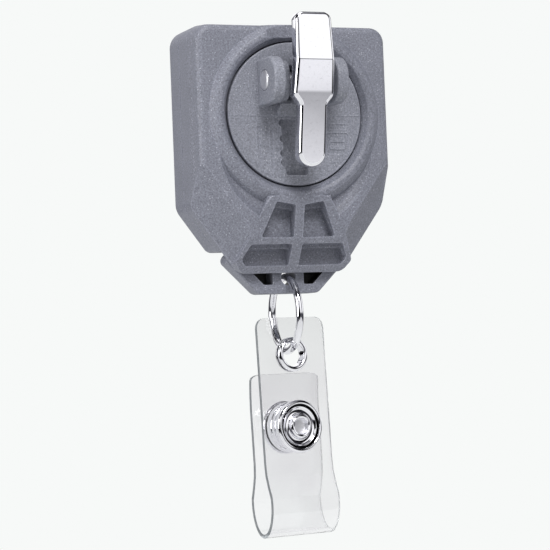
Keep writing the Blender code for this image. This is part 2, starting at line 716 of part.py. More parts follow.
# Snap pieces: radii and depths along the strap's thickness, the long leaf's mid-plane at zero.
def snap_post():
    face = -VINYL / 2 - 0.04
    return moved(turned([(0, face - 0.35), (1.35, face - 0.35), (1.4, face - 1.1), (1.9, face - 1.1),
                         (2.0, face - 0.35), (3.2, face - 0.3), (3.6, face - 1.0), (4.1, face - 1.0),
                         (4.2, face - 0.3), (4.1, face), (1.2, face), (1.2, 1.1), (0, 1.1)], 28),
                 (0, 0, SNAP_Z))


def snap_stud():
    face = VINYL / 2 + 0.04
    return moved(turned([(1.25, face), (3.9, face), (3.9, face + 0.25), (1.75, face + 0.35),
                         (1.85, 1.75), (1.6, 2.0), (0.3, 2.0), (0.3, 1.2), (1.25, 1.2)], 28),
                 (0, 0, SNAP_Z))


def snap_socket():
    face = LEAF_SPACING - VINYL / 2 - 0.04
    return moved(turned([(2.1, 1.1), (3.6, 1.1), (4.0, 1.5), (4.0, face), (1.3, face), (1.3, face - 0.25),
                         (2.9, face - 0.25), (2.9, 1.55), (2.1, 1.45)], 28), (0, 0, SNAP_Z))


def snap_spring():
    """The socket's sprung wire ring, open at one side."""
    points = [(2.5 * math.cos(math.radians(angle)), 1.98, SNAP_Z + 2.5 * math.sin(math.radians(angle)))
              for angle in range(-60, 241, 20)]
    return tube(points, 0.25, 6)


def snap_cap():
    face = LEAF_SPACING + VINYL / 2 + 0.04
    return moved(turned([(0, face - 1.1), (1.2, face - 1.1), (1.2, face), (4.0, face), (4.25, face + 0.3),
                         (3.9, face + 0.75), (2.4, face + 1.0), (0, face + 1.05)], 28), (0, 0, SNAP_Z))


# ---------------------------------------------------------------- assembly
def materials():
    return {
        "grey_plastic": finish("speckled_grey_plastic", "6F7076", 0.55),
        "nickel": finish("nickel_plate", "D8D8D6", 0.14, 1.0),
        "steel": finish("spring_steel", "8F9296", 0.35, 1.0),
        "vinyl": finish("clear_vinyl", "EDF0F1", 0.18, 0.0, 0.35),
        "spool": finish("white_acetal", "DADBD8", 0.45),
        "cord": finish("black_nylon_cord", "202124", 0.7),
        "brass": finish("brass_bush", "B89A5A", 0.3, 1.0),
    }


def build():
    clear_scene()
    look = materials()
    clip = pivot("clip_frame", (0, -GRIP_DEPTH, -GRIP_Z))
    lever = pivot("lever_axis", (0, PIN_Y, PIN_Z), clip)
    case = pivot("swivel_axis", (0, 0, 0), clip)
    reel = pivot("spool_axis", (0, 0, SPOOL_Z), case)
    cord_hole = pivot("cord_hole", (0, PARTING_Y, 0), case)
    cord = pivot("cord_slide", (0, 0, 0), cord_hole)
    ring = pivot("ring_centre", (0, 0, RING_TOP_Z - RING_RADIUS), cord)
    strap_place = (0, STRAP_Y - PARTING_Y, EYELET_Z - RING_TOP_Z + RING_RADIUS)
    strap = pivot("strap_frame", strap_place, ring, (-STRAP_TILT, 0, STRAP_YAW))
    flap = pivot("flap_axis", (0, LEAF_SPACING / 2, LOOP_BOTTOM), strap)

    add_part("swivel_disc", swivel_disc(), look["grey_plastic"], clip)
    add_part("hinge_pin", hinge_pin(), look["nickel"], lever)
    add_part("torsion_spring", torsion_spring(), look["steel"], lever)
    add_part("clip_lever", clip_lever(), look["nickel"], lever)
    add_part("retaining_washer", retaining_washer(), look["steel"], clip)
    add_part("retaining_screw", retaining_screw(), look["steel"], clip)

    add_part("rear_cover", rear_cover(), look["grey_plastic"], case)
    add_part("front_cover", front_cover(), look["grey_plastic"], case)
    add_part("cord_bush", cord_bush(), look["brass"], cord_hole)
    for name, maker, surface in (("axle_post", axle_post, "steel"), ("spool", spool, "spool"),
                                 ("spool_cap", spool_cap, "spool"), ("power_spring", power_spring, "steel"),
                                 ("thrust_washer", thrust_washer, "steel"),
                                 ("wound_cord", wound_cord, "cord")):
        add_part(name, maker(), look[surface], reel)

    add_part("cord_lead", cord_lead(), look["cord"], cord)
    add_part("cord_crimp", cord_crimp(), look["brass"], cord)
    add_part("end_fitting", end_fitting(), look["grey_plastic"], cord)
    add_part("jump_ring", jump_ring(), look["nickel"], ring)

    for name, maker, surface in (("strap_long_leaf", strap_long_leaf, "vinyl"), ("eyelet", eyelet, "nickel"),
                                 ("snap_post", snap_post, "nickel"), ("snap_stud", snap_stud, "nickel")):
        add_part(name, maker(), look[surface], strap)
    to_flap = (0, -LEAF_SPACING / 2, -LOOP_BOTTOM)
    for name, maker, surface in (("strap_short_leaf", strap_short_leaf, "vinyl"),
                                 ("snap_socket", snap_socket, "nickel"),
                                 ("snap_spring", snap_spring, "steel"), ("snap_cap", snap_cap, "nickel")):
        add_part(name, moved(maker(), to_flap), look[surface], flap)


build()
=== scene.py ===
# %% [markdown]
# # A retractable badge reel, piece by piece
# The reel clips to a pocket with a sprung lever, turns on a round disc, and holds a badge on a cord
# that ends in a plastic fitting, a ring and a clear strap. The imported CAD model gives every place
# and every joint. This lesson dresses it: each visible part is modelled again with finer shape, and
# all but the strap and the pull cord ride on the CAD body that moves them.

import math

import bmesh
import bpy
from mathutils import Matrix, Vector


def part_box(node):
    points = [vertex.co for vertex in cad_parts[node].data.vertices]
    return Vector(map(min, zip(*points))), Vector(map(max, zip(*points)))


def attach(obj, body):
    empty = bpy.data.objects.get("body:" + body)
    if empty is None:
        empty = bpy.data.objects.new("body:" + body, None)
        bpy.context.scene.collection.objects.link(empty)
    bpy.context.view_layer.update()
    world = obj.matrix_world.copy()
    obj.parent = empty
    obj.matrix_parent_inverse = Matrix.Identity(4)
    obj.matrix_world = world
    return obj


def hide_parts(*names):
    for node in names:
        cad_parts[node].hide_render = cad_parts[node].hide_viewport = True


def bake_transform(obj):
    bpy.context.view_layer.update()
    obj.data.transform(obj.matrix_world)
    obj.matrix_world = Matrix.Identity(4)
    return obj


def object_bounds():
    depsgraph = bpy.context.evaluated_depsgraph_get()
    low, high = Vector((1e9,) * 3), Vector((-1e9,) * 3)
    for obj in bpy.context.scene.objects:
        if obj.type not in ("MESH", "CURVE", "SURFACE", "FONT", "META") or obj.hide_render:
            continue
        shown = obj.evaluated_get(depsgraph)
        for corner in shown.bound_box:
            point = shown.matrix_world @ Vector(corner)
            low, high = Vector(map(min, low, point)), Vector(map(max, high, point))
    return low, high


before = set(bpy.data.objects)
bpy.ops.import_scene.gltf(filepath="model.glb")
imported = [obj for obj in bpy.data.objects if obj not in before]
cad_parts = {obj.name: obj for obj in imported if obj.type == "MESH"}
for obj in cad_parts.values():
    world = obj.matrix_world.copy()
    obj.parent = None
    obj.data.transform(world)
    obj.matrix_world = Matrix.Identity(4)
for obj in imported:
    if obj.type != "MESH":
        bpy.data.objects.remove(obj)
cad_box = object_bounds()
print("CAD box in mm:", [[round(value * 1000, 2) for value in corner] for corner in cad_box])

# %% [markdown]
# ## One frame, in millimetres
# The parts are small, so their sizes read best in millimetres. Each is modelled round a handy
# point, such as the disc's centre or the strap's eyelet, and moved into the shared frame at the
# end by one matrix. The points themselves are measured from the CAD solids.

# %% Places
MM = 0.001
disc_low, disc_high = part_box("swivel_disc")
HUB_REACH = 3.1              # from the disc's outer face to the inner end of its hub
disc_centre = Vector((0, disc_high.y - HUB_REACH * MM, (disc_low.z + disc_high.z) / 2))
REEL = Matrix.Translation(disc_centre) @ Matrix.Scale(MM, 4)

ring_low, ring_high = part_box("jump_ring")
RING = Matrix.Translation((ring_low + ring_high) / 2) @ Matrix.Scale(MM, 4)

STRAP_YAW = 12.0             # the strap hangs turned about the vertical
STRAP_TILT = 3.0             # and leans a little towards the clip side
EYELET_CENTRE = Vector((0, 5.6, -37.65))
strap_turn = Matrix.Rotation(math.radians(STRAP_YAW), 4, "Z") @ Matrix.Rotation(
    math.radians(-STRAP_TILT), 4, "X")
STRAP = REEL @ Matrix.Translation(EYELET_CENTRE) @ strap_turn
print("disc centre in mm:", [round(value * 1000, 2) for value in disc_centre])

# %% [markdown]
# ## Camera
# The reel is seen from a little to the left of the clip side and from just below its middle, with
# a long lens, so that its vertical lines stay nearly parallel. The camera is built from an
# azimuth, an elevation and a small roll, and looks past the strap's upper end.

# %% Camera
VIEW_AZIMUTH = -21.97
VIEW_ELEVATION = -2.06
VIEW_ROLL = -2.26
VIEW_DISTANCE = 316.2        # millimetres from the disc's centre, along the view
VIEW_RIGHT, VIEW_UP = -3.17, -25.25
FOCAL_LENGTH = 132.13        # for a 36 mm wide sensor


def camera_axes(azimuth, elevation, roll):
    """Right, up and back directions of a camera."""
    turn, lift = math.radians(azimuth), math.radians(elevation)
    back = Vector((math.sin(turn) * math.cos(lift), -math.cos(turn) * math.cos(lift),
                   math.sin(lift)))
    right = Vector((math.cos(turn), math.sin(turn), 0))
    up = back.cross(right)
    spin = math.radians(roll)
    return (right * math.cos(spin) + up * math.sin(spin),
            up * math.cos(spin) - right * math.sin(spin), back)


right, up, back = camera_axes(VIEW_AZIMUTH, VIEW_ELEVATION, VIEW_ROLL)
lens = bpy.data.cameras.new("studio_camera")
lens.lens = FOCAL_LENGTH
lens.sensor_width = 36.0
lens.clip_start, lens.clip_end = 0.01, 10.0
camera = bpy.data.objects.new("studio_camera", lens)
bpy.context.scene.collection.objects.link(camera)
stand = back * VIEW_DISTANCE + right * VIEW_RIGHT + up * VIEW_UP
camera.matrix_world = Matrix.Translation(disc_centre + stand * MM) @ Matrix(
    (right, up, back)).transposed().to_4x4()
bpy.context.scene.camera = camera
print("camera at", [round(value, 4) for value in camera.location])

# %% [markdown]
# ## Colours and nodes
# Colours are written as the hex values a paint program shows, and one function turns them to the
# linear numbers that the renderer works in. A second small function adds a shader node, sets its
# fields and makes its links, so that each finish below reads as a short recipe.

# %% Colour and node helpers
def linear(hex_colour):
    """sRGB hex to linear red, green, blue and an alpha of 1."""
    channels = [int(hex_colour[i:i + 2], 16) / 255 for i in (0, 2, 4)]
    return [c / 12.92 if c <= 0.04045 else ((c + 0.055) / 1.055) ** 2.4 for c in channels] + [1.0]


def add_node(tree, kind, settings=None, **links):
    """A node of that kind. settings are its fields, or values of its inputs; links feed inputs.

    An input is named, with _ for a space, or numbered, as _0.
    """
    made = tree.nodes.new(kind)
    for name, value in (settings or {}).items():
        if hasattr(made, name):
            setattr(made, name, value)
        else:
            made.inputs[name].default_value = value
    for name, socket in links.items():
        key = int(name[1:]) if name[1:].isdigit() else name.replace("_", " ")
        tree.links.new(socket, made.inputs[key])
    return made


def new_finish(name, **settings):
    """A material with one Principled BSDF: the material, its tree, the shader, the place."""
    made = bpy.data.materials.new(name)
    made.use_nodes = True
    tree = made.node_tree
    shader = tree.nodes["Principled BSDF"]
    for key, value in settings.items():
        shader.inputs[key.replace("_", " ")].default_value = value
    place = add_node(tree, "ShaderNodeTexCoord")
    return made, tree, shader, place.outputs["Object"]


def blend_ramp(tree, factor, stops):
    """A colour ramp through (position, hex colour) stops."""
    ramp = add_node(tree, "ShaderNodeValToRGB", None, Fac=factor)
    while len(ramp.color_ramp.elements) < len(stops):
        ramp.color_ramp.elements.new(0.5)
    for element, (position, colour) in zip(ramp.color_ramp.elements, stops):
        element.position = position
        element.color = linear(colour)
    return ramp.outputs["Color"]


def bump(tree, shader, height, distance_mm, strength):
    """Feed a height pattern to the shader's normal."""
    made = add_node(tree, "ShaderNodeBump", {"Distance": distance_mm * MM, "Strength": strength},
                    Height=height)
    tree.links.new(made.outputs["Normal"], shader.inputs["Normal"])


print("helpers ready")

# %% [markdown]
# ## Light and floor
# Small plastic and plated parts are shown in a light tent: white nearly all round, with a few dark
# cards in it that give the bright metal something to mirror. The lens looks in through a dark
# port, which flat metal that faces it mirrors as well. For matt surfaces the tent is plain and
# dimmer, which no real tent can do: it keeps the grey plastic deep beside the bright metal. The
# reel hangs as high as a badge does: the floor lies about a metre below it, so that the whole cord
# can be pulled out, and it is a light table of opal sheet, which keeps it pale at that distance.

# %% Studio
studio = bpy.context.scene
studio.view_settings.view_transform = "Standard"
TENT_STRENGTH = 1.3
DIFFUSE_SHARE = 0.5          # of the tent's strength, for matt surfaces
BACKDROP_COLOUR = "F7F9F8"   # what the lens sees behind the reel
SOFT_COLOUR = "E6E6E8"       # what lights the matt surfaces
PORT_ANGLE, PORT_EDGE = 18.0, 5.0    # degrees: the dark port round the lens, and its soft edge
PORT_SHADE = 0.03
print("matt surfaces see", TENT_STRENGTH * DIFFUSE_SHARE, "of full white")

# %% Tent and cards
tent = bpy.data.worlds.new("light_tent")
studio.world = tent
tent.use_nodes = True
sky = tent.node_tree
sky.nodes.clear()
direction = add_node(sky, "ShaderNodeTexCoord").outputs["Generated"]
apart = add_node(sky, "ShaderNodeSeparateXYZ", None, Vector=direction)
height = add_node(sky, "ShaderNodeMapRange", {"From Min": -1.0, "From Max": 1.0},
                  Value=apart.outputs["Z"])
across = add_node(sky, "ShaderNodeMapRange", {"From Min": -1.0, "From Max": 1.0},
                  Value=apart.outputs["X"])
rise_shade = blend_ramp(sky, height.outputs["Result"], [
    (0.0, "8A8A8E"), (0.18, "9A9A9E"), (0.25, "F0F0F2"), (0.38, "EAEAEC"), (0.42, "4A4A50"),
    (0.49, "56565C"), (0.53, "FFFFFF"), (0.76, "FFFFFF"), (0.83, "3A3A40"), (0.93, "46464C"),
    (1.0, "E0E0E2")])
card_shade = blend_ramp(sky, across.outputs["Result"], [
    (0.0, "C8C8CC"), (0.07, "1C1C20"), (0.16, "202024"), (0.19, "F8F8F8"), (0.30, "FFFFFF"),
    (0.33, "4A4A50"), (0.43, "56565C"), (0.47, "F4F4F6"), (0.80, "FFFFFF"), (0.83, "1E1E22"),
    (0.92, "2A2A2E"), (0.95, "F0F0F2")])
tent_shade = add_node(sky, "ShaderNodeMix", {"data_type": "RGBA", "blend_type": "MULTIPLY"},
                      _6=rise_shade, _7=card_shade)
tent_shade.inputs[0].default_value = 1.0
print("tent in", len(sky.nodes), "nodes so far")

# %% Port and backdrop
toward_lens = add_node(sky, "ShaderNodeVectorMath", {"operation": "DOT_PRODUCT"}, _0=direction)
toward_lens.inputs[1].default_value = back
port = add_node(sky, "ShaderNodeMapRange", {
    "From Min": math.cos(math.radians(PORT_ANGLE + PORT_EDGE)),
    "From Max": math.cos(math.radians(PORT_ANGLE)), "To Min": 1.0, "To Max": PORT_SHADE},
    Value=toward_lens.outputs["Value"])
lit_tent = add_node(sky, "ShaderNodeVectorMath", {"operation": "SCALE"}, _0=tent_shade.outputs[2],
                    Scale=port.outputs["Result"])
ray = add_node(sky, "ShaderNodeLightPath")
direct = add_node(sky, "ShaderNodeMath", {"operation": "MAXIMUM"}, _0=ray.outputs["Is Camera Ray"],
                  _1=ray.outputs["Is Transmission Ray"])
backdrop = add_node(sky, "ShaderNodeMix", {"data_type": "RGBA"}, _0=direct.outputs[0],
                    _6=lit_tent.outputs[0])
backdrop.inputs[7].default_value = [value / TENT_STRENGTH for value in linear(BACKDROP_COLOUR)]
tent_power = add_node(sky, "ShaderNodeMapRange", {
    "To Min": TENT_STRENGTH, "To Max": TENT_STRENGTH * DIFFUSE_SHARE},
    Value=ray.outputs["Is Diffuse Ray"])
seen = add_node(sky, "ShaderNodeMix", {"data_type": "RGBA"}, _0=ray.outputs["Is Diffuse Ray"],
                _6=backdrop.outputs[2])
seen.inputs[7].default_value = linear(SOFT_COLOUR)
glow = add_node(sky, "ShaderNodeBackground", None, Color=seen.outputs[2],
                Strength=tent_power.outputs["Result"])
add_node(sky, "ShaderNodeOutputWorld", None, Surface=glow.outputs[0])
print("tent finished in", len(sky.nodes), "nodes")


# %% Soft boxes
def soft_box(name, place_mm, size_mm, power, aim_mm=(0, 0, -15)):
    """A square area light aimed at the reel."""
    light = bpy.data.lights.new(name, "AREA")
    light.size = size_mm * MM
    light.energy = power
    holder = bpy.data.objects.new(name, light)
    studio.collection.objects.link(holder)
    holder.location = disc_centre + Vector(place_mm) * MM
    aim = Vector(aim_mm) * MM + disc_centre - holder.location
    holder.rotation_euler = aim.to_track_quat("-Z", "Y").to_euler()


soft_box("key_box", (-40, -400, 370), 170, 2.2)
soft_box("left_fill_box", (-430, -90, 60), 260, 1.0)
soft_box("top_box", (-40, 60, 420), 300, 0.4)
print("soft boxes:", len(bpy.data.lights))

# %% Floor
FLOOR_DROP = 950             # millimetres below the strap
FLOOR_RADIUS = 3200
OPAL_GLOW = 0.38
floor_shape = bmesh.new()
bmesh.ops.create_circle(floor_shape, cap_ends=True, radius=FLOOR_RADIUS * MM, segments=96)
bmesh.ops.translate(floor_shape, verts=floor_shape.verts,
                    vec=(0, 0, cad_box[0].z - FLOOR_DROP * MM))
floor_mesh = bpy.data.meshes.new("studio_floor")
floor_shape.to_mesh(floor_mesh)
floor_shape.free()
floor = bpy.data.objects.new("studio_floor", floor_mesh)
studio.collection.objects.link(floor)
OPAL, opal_tree, opal_shader, opal_place = new_finish(
    "opal_light_table", Roughness=0.9, Emission_Color=linear(BACKDROP_COLOUR),
    Emission_Strength=OPAL_GLOW)
mottle = add_node(opal_tree, "ShaderNodeTexNoise", {"Scale": 1 / (3 * MM), "Detail": 2.0},
                  Vector=opal_place)
milk = blend_ramp(opal_tree, mottle.outputs["Fac"], [(0.3, "F1F2F1"), (0.7, "F6F7F6")])
opal_tree.links.new(milk, opal_shader.inputs["Base Color"])
floor_mesh.materials.append(OPAL)
print("floor at", round(cad_box[0].z * 1000 - FLOOR_DROP, 1), "mm")

# %% [markdown]
# ## Finish: speckled grey ABS
# The case, the disc and the cord's fitting are injection-moulded ABS. The mould is spark-eroded,
# which gives a fine satin grain about 0.15 mm across, and the resin holds pale flecks. That grain
# is too fine to show from here, so it is drawn 0.26 mm across. It goes into the bump and the
# roughness, and the flecks, from a cell pattern, into the colour. The edges are paler: partly
# rubbed by handling, partly a painted highlight along the rims.

# %% Grey ABS
def moulded_abs(name, deep, body, fleck, wear_and_highlight=0.35):
    """Grained ABS. The last argument is how much paler an edge is, partly from rubbing wear and
    partly as a painted highlight.
    """
    made, tree, shader, place = new_finish(name, Roughness=0.5, IOR=1.53)
    shader.inputs["Specular IOR Level"].default_value = 0.45
    cloud = add_node(tree, "ShaderNodeTexNoise", {"Scale": 1 / (5.0 * MM), "Detail": 3.0},
                     Vector=place)
    grain = add_node(tree, "ShaderNodeTexNoise", {"Scale": 1 / (0.26 * MM), "Detail": 4.0,
                                                  "Roughness": 0.7}, Vector=place)
    cells = add_node(tree, "ShaderNodeTexVoronoi", {"Scale": 1 / (0.36 * MM), "Randomness": 1.0},
                     Vector=place)
    base = blend_ramp(tree, grain.outputs["Fac"], [(0.30, deep), (0.62, body)])
    spots = add_node(tree, "ShaderNodeMapRange", {"From Min": 0.16, "From Max": 0.30,
                                                  "To Min": 1.0, "To Max": 0.0},
                     Value=cells.outputs["Distance"])
    chosen = add_node(tree, "ShaderNodeSeparateColor", None, Color=cells.outputs["Color"])
    few = add_node(tree, "ShaderNodeMapRange", {"From Min": 0.55, "From Max": 0.95},
                   Value=chosen.outputs["Red"])
    amount = add_node(tree, "ShaderNodeMath", {"operation": "MULTIPLY"},
                      _0=spots.outputs["Result"], _1=few.outputs["Result"])
    mixed = add_node(tree, "ShaderNodeMix", {"data_type": "RGBA"}, _0=amount.outputs[0], _6=base)
    mixed.inputs[7].default_value = linear(fleck)
    tone = add_node(tree, "ShaderNodeMapRange", {"From Min": 0.3, "From Max": 0.7,
                                                 "To Min": 0.95, "To Max": 1.05},
                    Value=cloud.outputs["Fac"])
    # Edges painted paler: partly rubbing wear, partly a painted highlight along the rims.
    rounded = add_node(tree, "ShaderNodeBevel", {"samples": 4, "Radius": 0.35 * MM})
    surface = add_node(tree, "ShaderNodeNewGeometry")
    bend = add_node(tree, "ShaderNodeVectorMath", {"operation": "DOT_PRODUCT"},
                    _0=rounded.outputs["Normal"], _1=surface.outputs["Normal"])
    rubbed_and_highlit = add_node(tree, "ShaderNodeMapRange", {"From Min": 0.995, "From Max": 0.93,
                                                   "To Min": 1.0, "To Max": 1.0 + wear_and_highlight},
                      Value=bend.outputs["Value"])
    worn_and_highlit_tone = add_node(tree, "ShaderNodeMath", {"operation": "MULTIPLY"},
                         _0=tone.outputs["Result"], _1=rubbed_and_highlit.outputs["Result"])
    shaded = add_node(tree, "ShaderNodeVectorMath", {"operation": "SCALE"}, _0=mixed.outputs[2],
                      Scale=worn_and_highlit_tone.outputs[0])
    tree.links.new(shaded.outputs[0], shader.inputs["Base Color"])
    gloss = add_node(tree, "ShaderNodeMapRange", {"From Min": 0.3, "From Max": 0.7,
                                                  "To Min": 0.42, "To Max": 0.60},
                     Value=grain.outputs["Fac"])
    tree.links.new(gloss.outputs["Result"], shader.inputs["Roughness"])
    bump(tree, shader, grain.outputs["Fac"], 0.05, 0.35)
    return made


GREY_ABS = moulded_abs("moulded_grey_abs", "52545E", "80828D", "A6A8B2")
DISC_ABS = moulded_abs("moulded_grey_abs_disc", "5C5E67", "8A8C96", "AEB0B8")
# Painted shade: a near-black copy of the ABS for the deep window floors of the fitting.
PAINTED_SHADE_ABS = moulded_abs("painted_shade_abs", "1B1B1A", "242422", "3A3A38")
print("grain 0.26 mm, flecks in 0.36 mm cells")

# %% [markdown]
# ## Finish: bright nickel plate
# The lever, ring, eyelet and snap are stamped or drawn steel with bright nickel over it. Nickel is
# a slightly warm mirror. Barrel plating leaves a faint waviness and small handling marks, so the
# bump is very low and the roughness changes a little from place to place.

# %% Nickel
def plated_nickel(name, tint, shine, wave_mm):
    """A metal. shine is its lowest roughness, wave_mm the width of its waviness."""
    made, tree, shader, place = new_finish(name, Base_Color=linear(tint), Metallic=1.0)
    wave = add_node(tree, "ShaderNodeTexNoise", {"Scale": 1 / (wave_mm * MM), "Detail": 1.0},
                    Vector=place)
    marks = add_node(tree, "ShaderNodeTexNoise", {"Scale": 1 / (0.6 * MM), "Detail": 5.0,
                                                  "Roughness": 0.75}, Vector=place)
    gloss = add_node(tree, "ShaderNodeMapRange", {"From Min": 0.4, "From Max": 0.8,
                                                  "To Min": shine, "To Max": shine + 0.06},
                     Value=marks.outputs["Fac"])
    tree.links.new(gloss.outputs["Result"], shader.inputs["Roughness"])
    tint_range = blend_ramp(tree, marks.outputs["Fac"], [(0.55, tint), (1.0, "C4C4C8")])
    tree.links.new(tint_range, shader.inputs["Base Color"])
    bump(tree, shader, wave.outputs["Fac"], 0.01, 0.25)
    return made


NICKEL = plated_nickel("bright_nickel_plate", "EAEAEE", 0.05, 3.0)
BURNISHED = plated_nickel("burnished_rivet_head", "E8E8EC", 0.42, 0.6)
STEEL = plated_nickel("drawn_spring_steel", "9A9B9C", 0.24, 0.8)
# Painted shade: a near-black nickel for the snap's groove, standing in for the dark reflection and
# shade in it.
PAINTED_GROOVE_SHADE = plated_nickel("painted_groove_shade", "1C1C1E", 0.4, 0.8)
BRASS = plated_nickel("turned_brass", "C7A45A", 0.2, 1.0)
print("nickel roughness from 0.06")

# %% [markdown]
# ## Finish: clear flexible vinyl
# The strap is plasticised PVC sheet. It is clear, a little blue where you look along the sheet, and
# soft, so its surface ripples slightly and blurs what it mirrors. Its upper end is painted a little
# greyer than the loop: painted shade that stands in for the darker reflection there. Light that
# enters a cut edge is trapped between the faces, so the edge has a finish of its own that passes
# less light and shows the pale line that a cut sheet has.

# %% Clear vinyl
VINYL, vinyl_tree, vinyl_shader, vinyl_place = new_finish(
    "clear_flexible_pvc", Base_Color=linear("F4F6F9"), Roughness=0.05, IOR=1.53,
    Transmission_Weight=1.0)
ripple = add_node(vinyl_tree, "ShaderNodeTexNoise", {"Scale": 1 / (6.0 * MM), "Detail": 2.0},
                  Vector=vinyl_place)
haze = add_node(vinyl_tree, "ShaderNodeMapRange", {"From Min": 0.3, "From Max": 0.7, "To Min": 0.03,
                                                   "To Max": 0.10}, Value=ripple.outputs["Fac"])
vinyl_tree.links.new(haze.outputs["Result"], vinyl_shader.inputs["Roughness"])
worn = add_node(vinyl_tree, "ShaderNodeTexNoise", {"Scale": 1 / (14.0 * MM), "Detail": 2.0},
                Vector=vinyl_place)
clean = blend_ramp(vinyl_tree, worn.outputs["Fac"], [(0.35, "F3F2F4"), (0.6, "FAFAFB")])
along = add_node(vinyl_tree, "ShaderNodeSeparateXYZ", None, Vector=vinyl_place)
# Painted shade: the colour darkens from the loop to the upper end, standing in for the darker
# reflection there.
painted_upper_shade = add_node(vinyl_tree, "ShaderNodeMapRange", {"From Min": -42 * MM, "From Max": -27 * MM,
                                                      "To Min": 1.0, "To Max": 0.88},
                   Value=along.outputs["Z"])
upper_shaded_tint = add_node(vinyl_tree, "ShaderNodeVectorMath", {"operation": "SCALE"}, _0=clean,
                 Scale=painted_upper_shade.outputs["Result"])
vinyl_tree.links.new(upper_shaded_tint.outputs[0], vinyl_shader.inputs["Base Color"])
bump(vinyl_tree, vinyl_shader, ripple.outputs["Fac"], 0.25, 0.3)
print("vinyl IOR", round(vinyl_shader.inputs["IOR"].default_value, 2))

# %% Cut edge
CUT_EDGE, edge_tree, edge_shader, edge_place = new_finish(
    "cut_pvc_edge", Roughness=0.3, IOR=1.53, Transmission_Weight=0.7)
saw = add_node(edge_tree, "ShaderNodeTexNoise", {"Scale": 1 / (0.8 * MM), "Detail": 2.0},
               Vector=edge_place)
milled = blend_ramp(edge_tree, saw.outputs["Fac"], [(0.3, "C6CED2"), (0.7, "DFE3E6")])
edge_tree.links.new(milled, edge_shader.inputs["Base Color"])
bump(edge_tree, edge_shader, saw.outputs["Fac"], 0.05, 0.3)
print("saw marks 0.8 mm apart")

# %% [markdown]
# ## Finish: the working parts
# Inside the case are an acetal spool and a braided nylon cord. They are out of sight, but anyone
# who opens the model meets them, so each has its own finish too.

# %% Acetal
ACETAL, acetal_tree, acetal_shader, acetal_place = new_finish(
    "moulded_acetal", Roughness=0.4, IOR=1.48)
flow = add_node(acetal_tree, "ShaderNodeTexNoise", {"Scale": 1 / (4.0 * MM), "Detail": 3.0},
                Vector=acetal_place)
milky = blend_ramp(acetal_tree, flow.outputs["Fac"], [(0.3, "D2D3CF"), (0.7, "E2E3DF")])
acetal_tree.links.new(milky, acetal_shader.inputs["Base Color"])
bump(acetal_tree, acetal_shader, flow.outputs["Fac"], 0.03, 0.3)

print("acetal ready")

# %% Braided cord
CORD, cord_tree, cord_shader, cord_place = new_finish("braided_nylon", Roughness=0.6, IOR=1.53)
strands = add_node(cord_tree, "ShaderNodeTexWave", {"Scale": 1 / (0.5 * MM), "Distortion": 1.5,
                                                    "Detail": 1.0, "bands_direction": "DIAGONAL"},
                   Vector=cord_place)
yarn = blend_ramp(cord_tree, strands.outputs["Fac"], [(0.2, "141518"), (0.8, "33353B")])
cord_tree.links.new(yarn, cord_shader.inputs["Base Color"])
bump(cord_tree, cord_shader, strands.outputs["Fac"], 0.08, 0.6)
print("braid pitch 0.5 mm")

# %% [markdown]
# ## Modelling helpers
# Most parts are plates cut from an outline, or bodies turned on an axis. Both start from a few
# corner points. Blender's own vertex bevel rounds the corners, and extrude or spin gives the body.
# Booleans cut pockets and holes, and a final edge bevel takes off the sharp edges that no moulding
# or stamping has.

# %% Outlines
def round_corner(shape, vert, radius, steps):
    """Round one corner of a flat face to a radius."""
    sides = [edge.other_vert(vert).co - vert.co for edge in vert.link_edges]
    offset = radius / math.tan(sides[0].angle(sides[1]) / 2)
    bmesh.ops.bevel(shape, geom=[vert], offset=offset, offset_type="OFFSET", segments=steps,
                    profile=0.5, affect="VERTICES", material=-1)


def flat_shape(corners, steps):
    """A face from (x, y, z, radius) corners."""
    shape = bmesh.new()
    verts = [shape.verts.new(corner[:3]) for corner in corners]
    shape.faces.new(verts)
    for vert, corner in zip(verts, corners):
        if corner[3] > 0:
            round_corner(shape, vert, corner[3], steps)
    return shape


def extruded(shape, offset):
    """A flat shape pulled out into a closed body."""
    grown = bmesh.ops.extrude_face_region(shape, geom=shape.faces[:])
    tips = [item for item in grown["geom"] if isinstance(item, bmesh.types.BMVert)]
    bmesh.ops.translate(shape, verts=tips, vec=offset)
    bmesh.ops.recalc_face_normals(shape, faces=shape.faces)
    return shape


print("outlines ready")


# %% Plates and turned bodies
def plate(corners, near, far, steps=6):
    """A plate facing -Y, from (x, z, radius) corners."""
    return extruded(flat_shape([(x, near, z, r) for x, z, r in corners], steps), (0, far - near, 0))


def side_plate(corners, left, right, steps=6):
    """A plate facing X, from (y, z, radius) corners."""
    return extruded(flat_shape([(left, y, z, r) for y, z, r in corners], steps),
                    (right - left, 0, 0))


def turned(profile, steps=96, rounding=4, axis="Y"):
    """A body of revolution from (radius, depth, corner radius) corners."""
    shape = flat_shape([(r, y, 0, corner) for r, y, corner in profile], rounding)
    bmesh.ops.delete(shape, geom=shape.faces[:], context="FACES_ONLY")
    bmesh.ops.spin(shape, geom=shape.verts[:] + shape.edges[:], cent=(0, 0, 0), axis=(0, 1, 0),
                   angle=math.tau, steps=steps, use_merge=True)
    bmesh.ops.remove_doubles(shape, verts=shape.verts, dist=1e-5)
    loose = [edge for edge in shape.edges if not edge.link_faces]
    bmesh.ops.delete(shape, geom=loose, context="EDGES")
    if axis != "Y":
        turn = Matrix.Rotation(math.radians(-90), 4, "Z") if axis == "X" else Matrix.Rotation(
            math.radians(90), 4, "X")
        bmesh.ops.transform(shape, matrix=turn, verts=shape.verts)
    bmesh.ops.recalc_face_normals(shape, faces=shape.faces)
    return shape


def rod(radius, near, far, steps=48, axis="Y"):
    """A plain round rod along an axis."""
    return turned([(0, near, 0), (radius, near, 0), (radius, far, 0), (0, far, 0)], steps,
                  axis=axis)


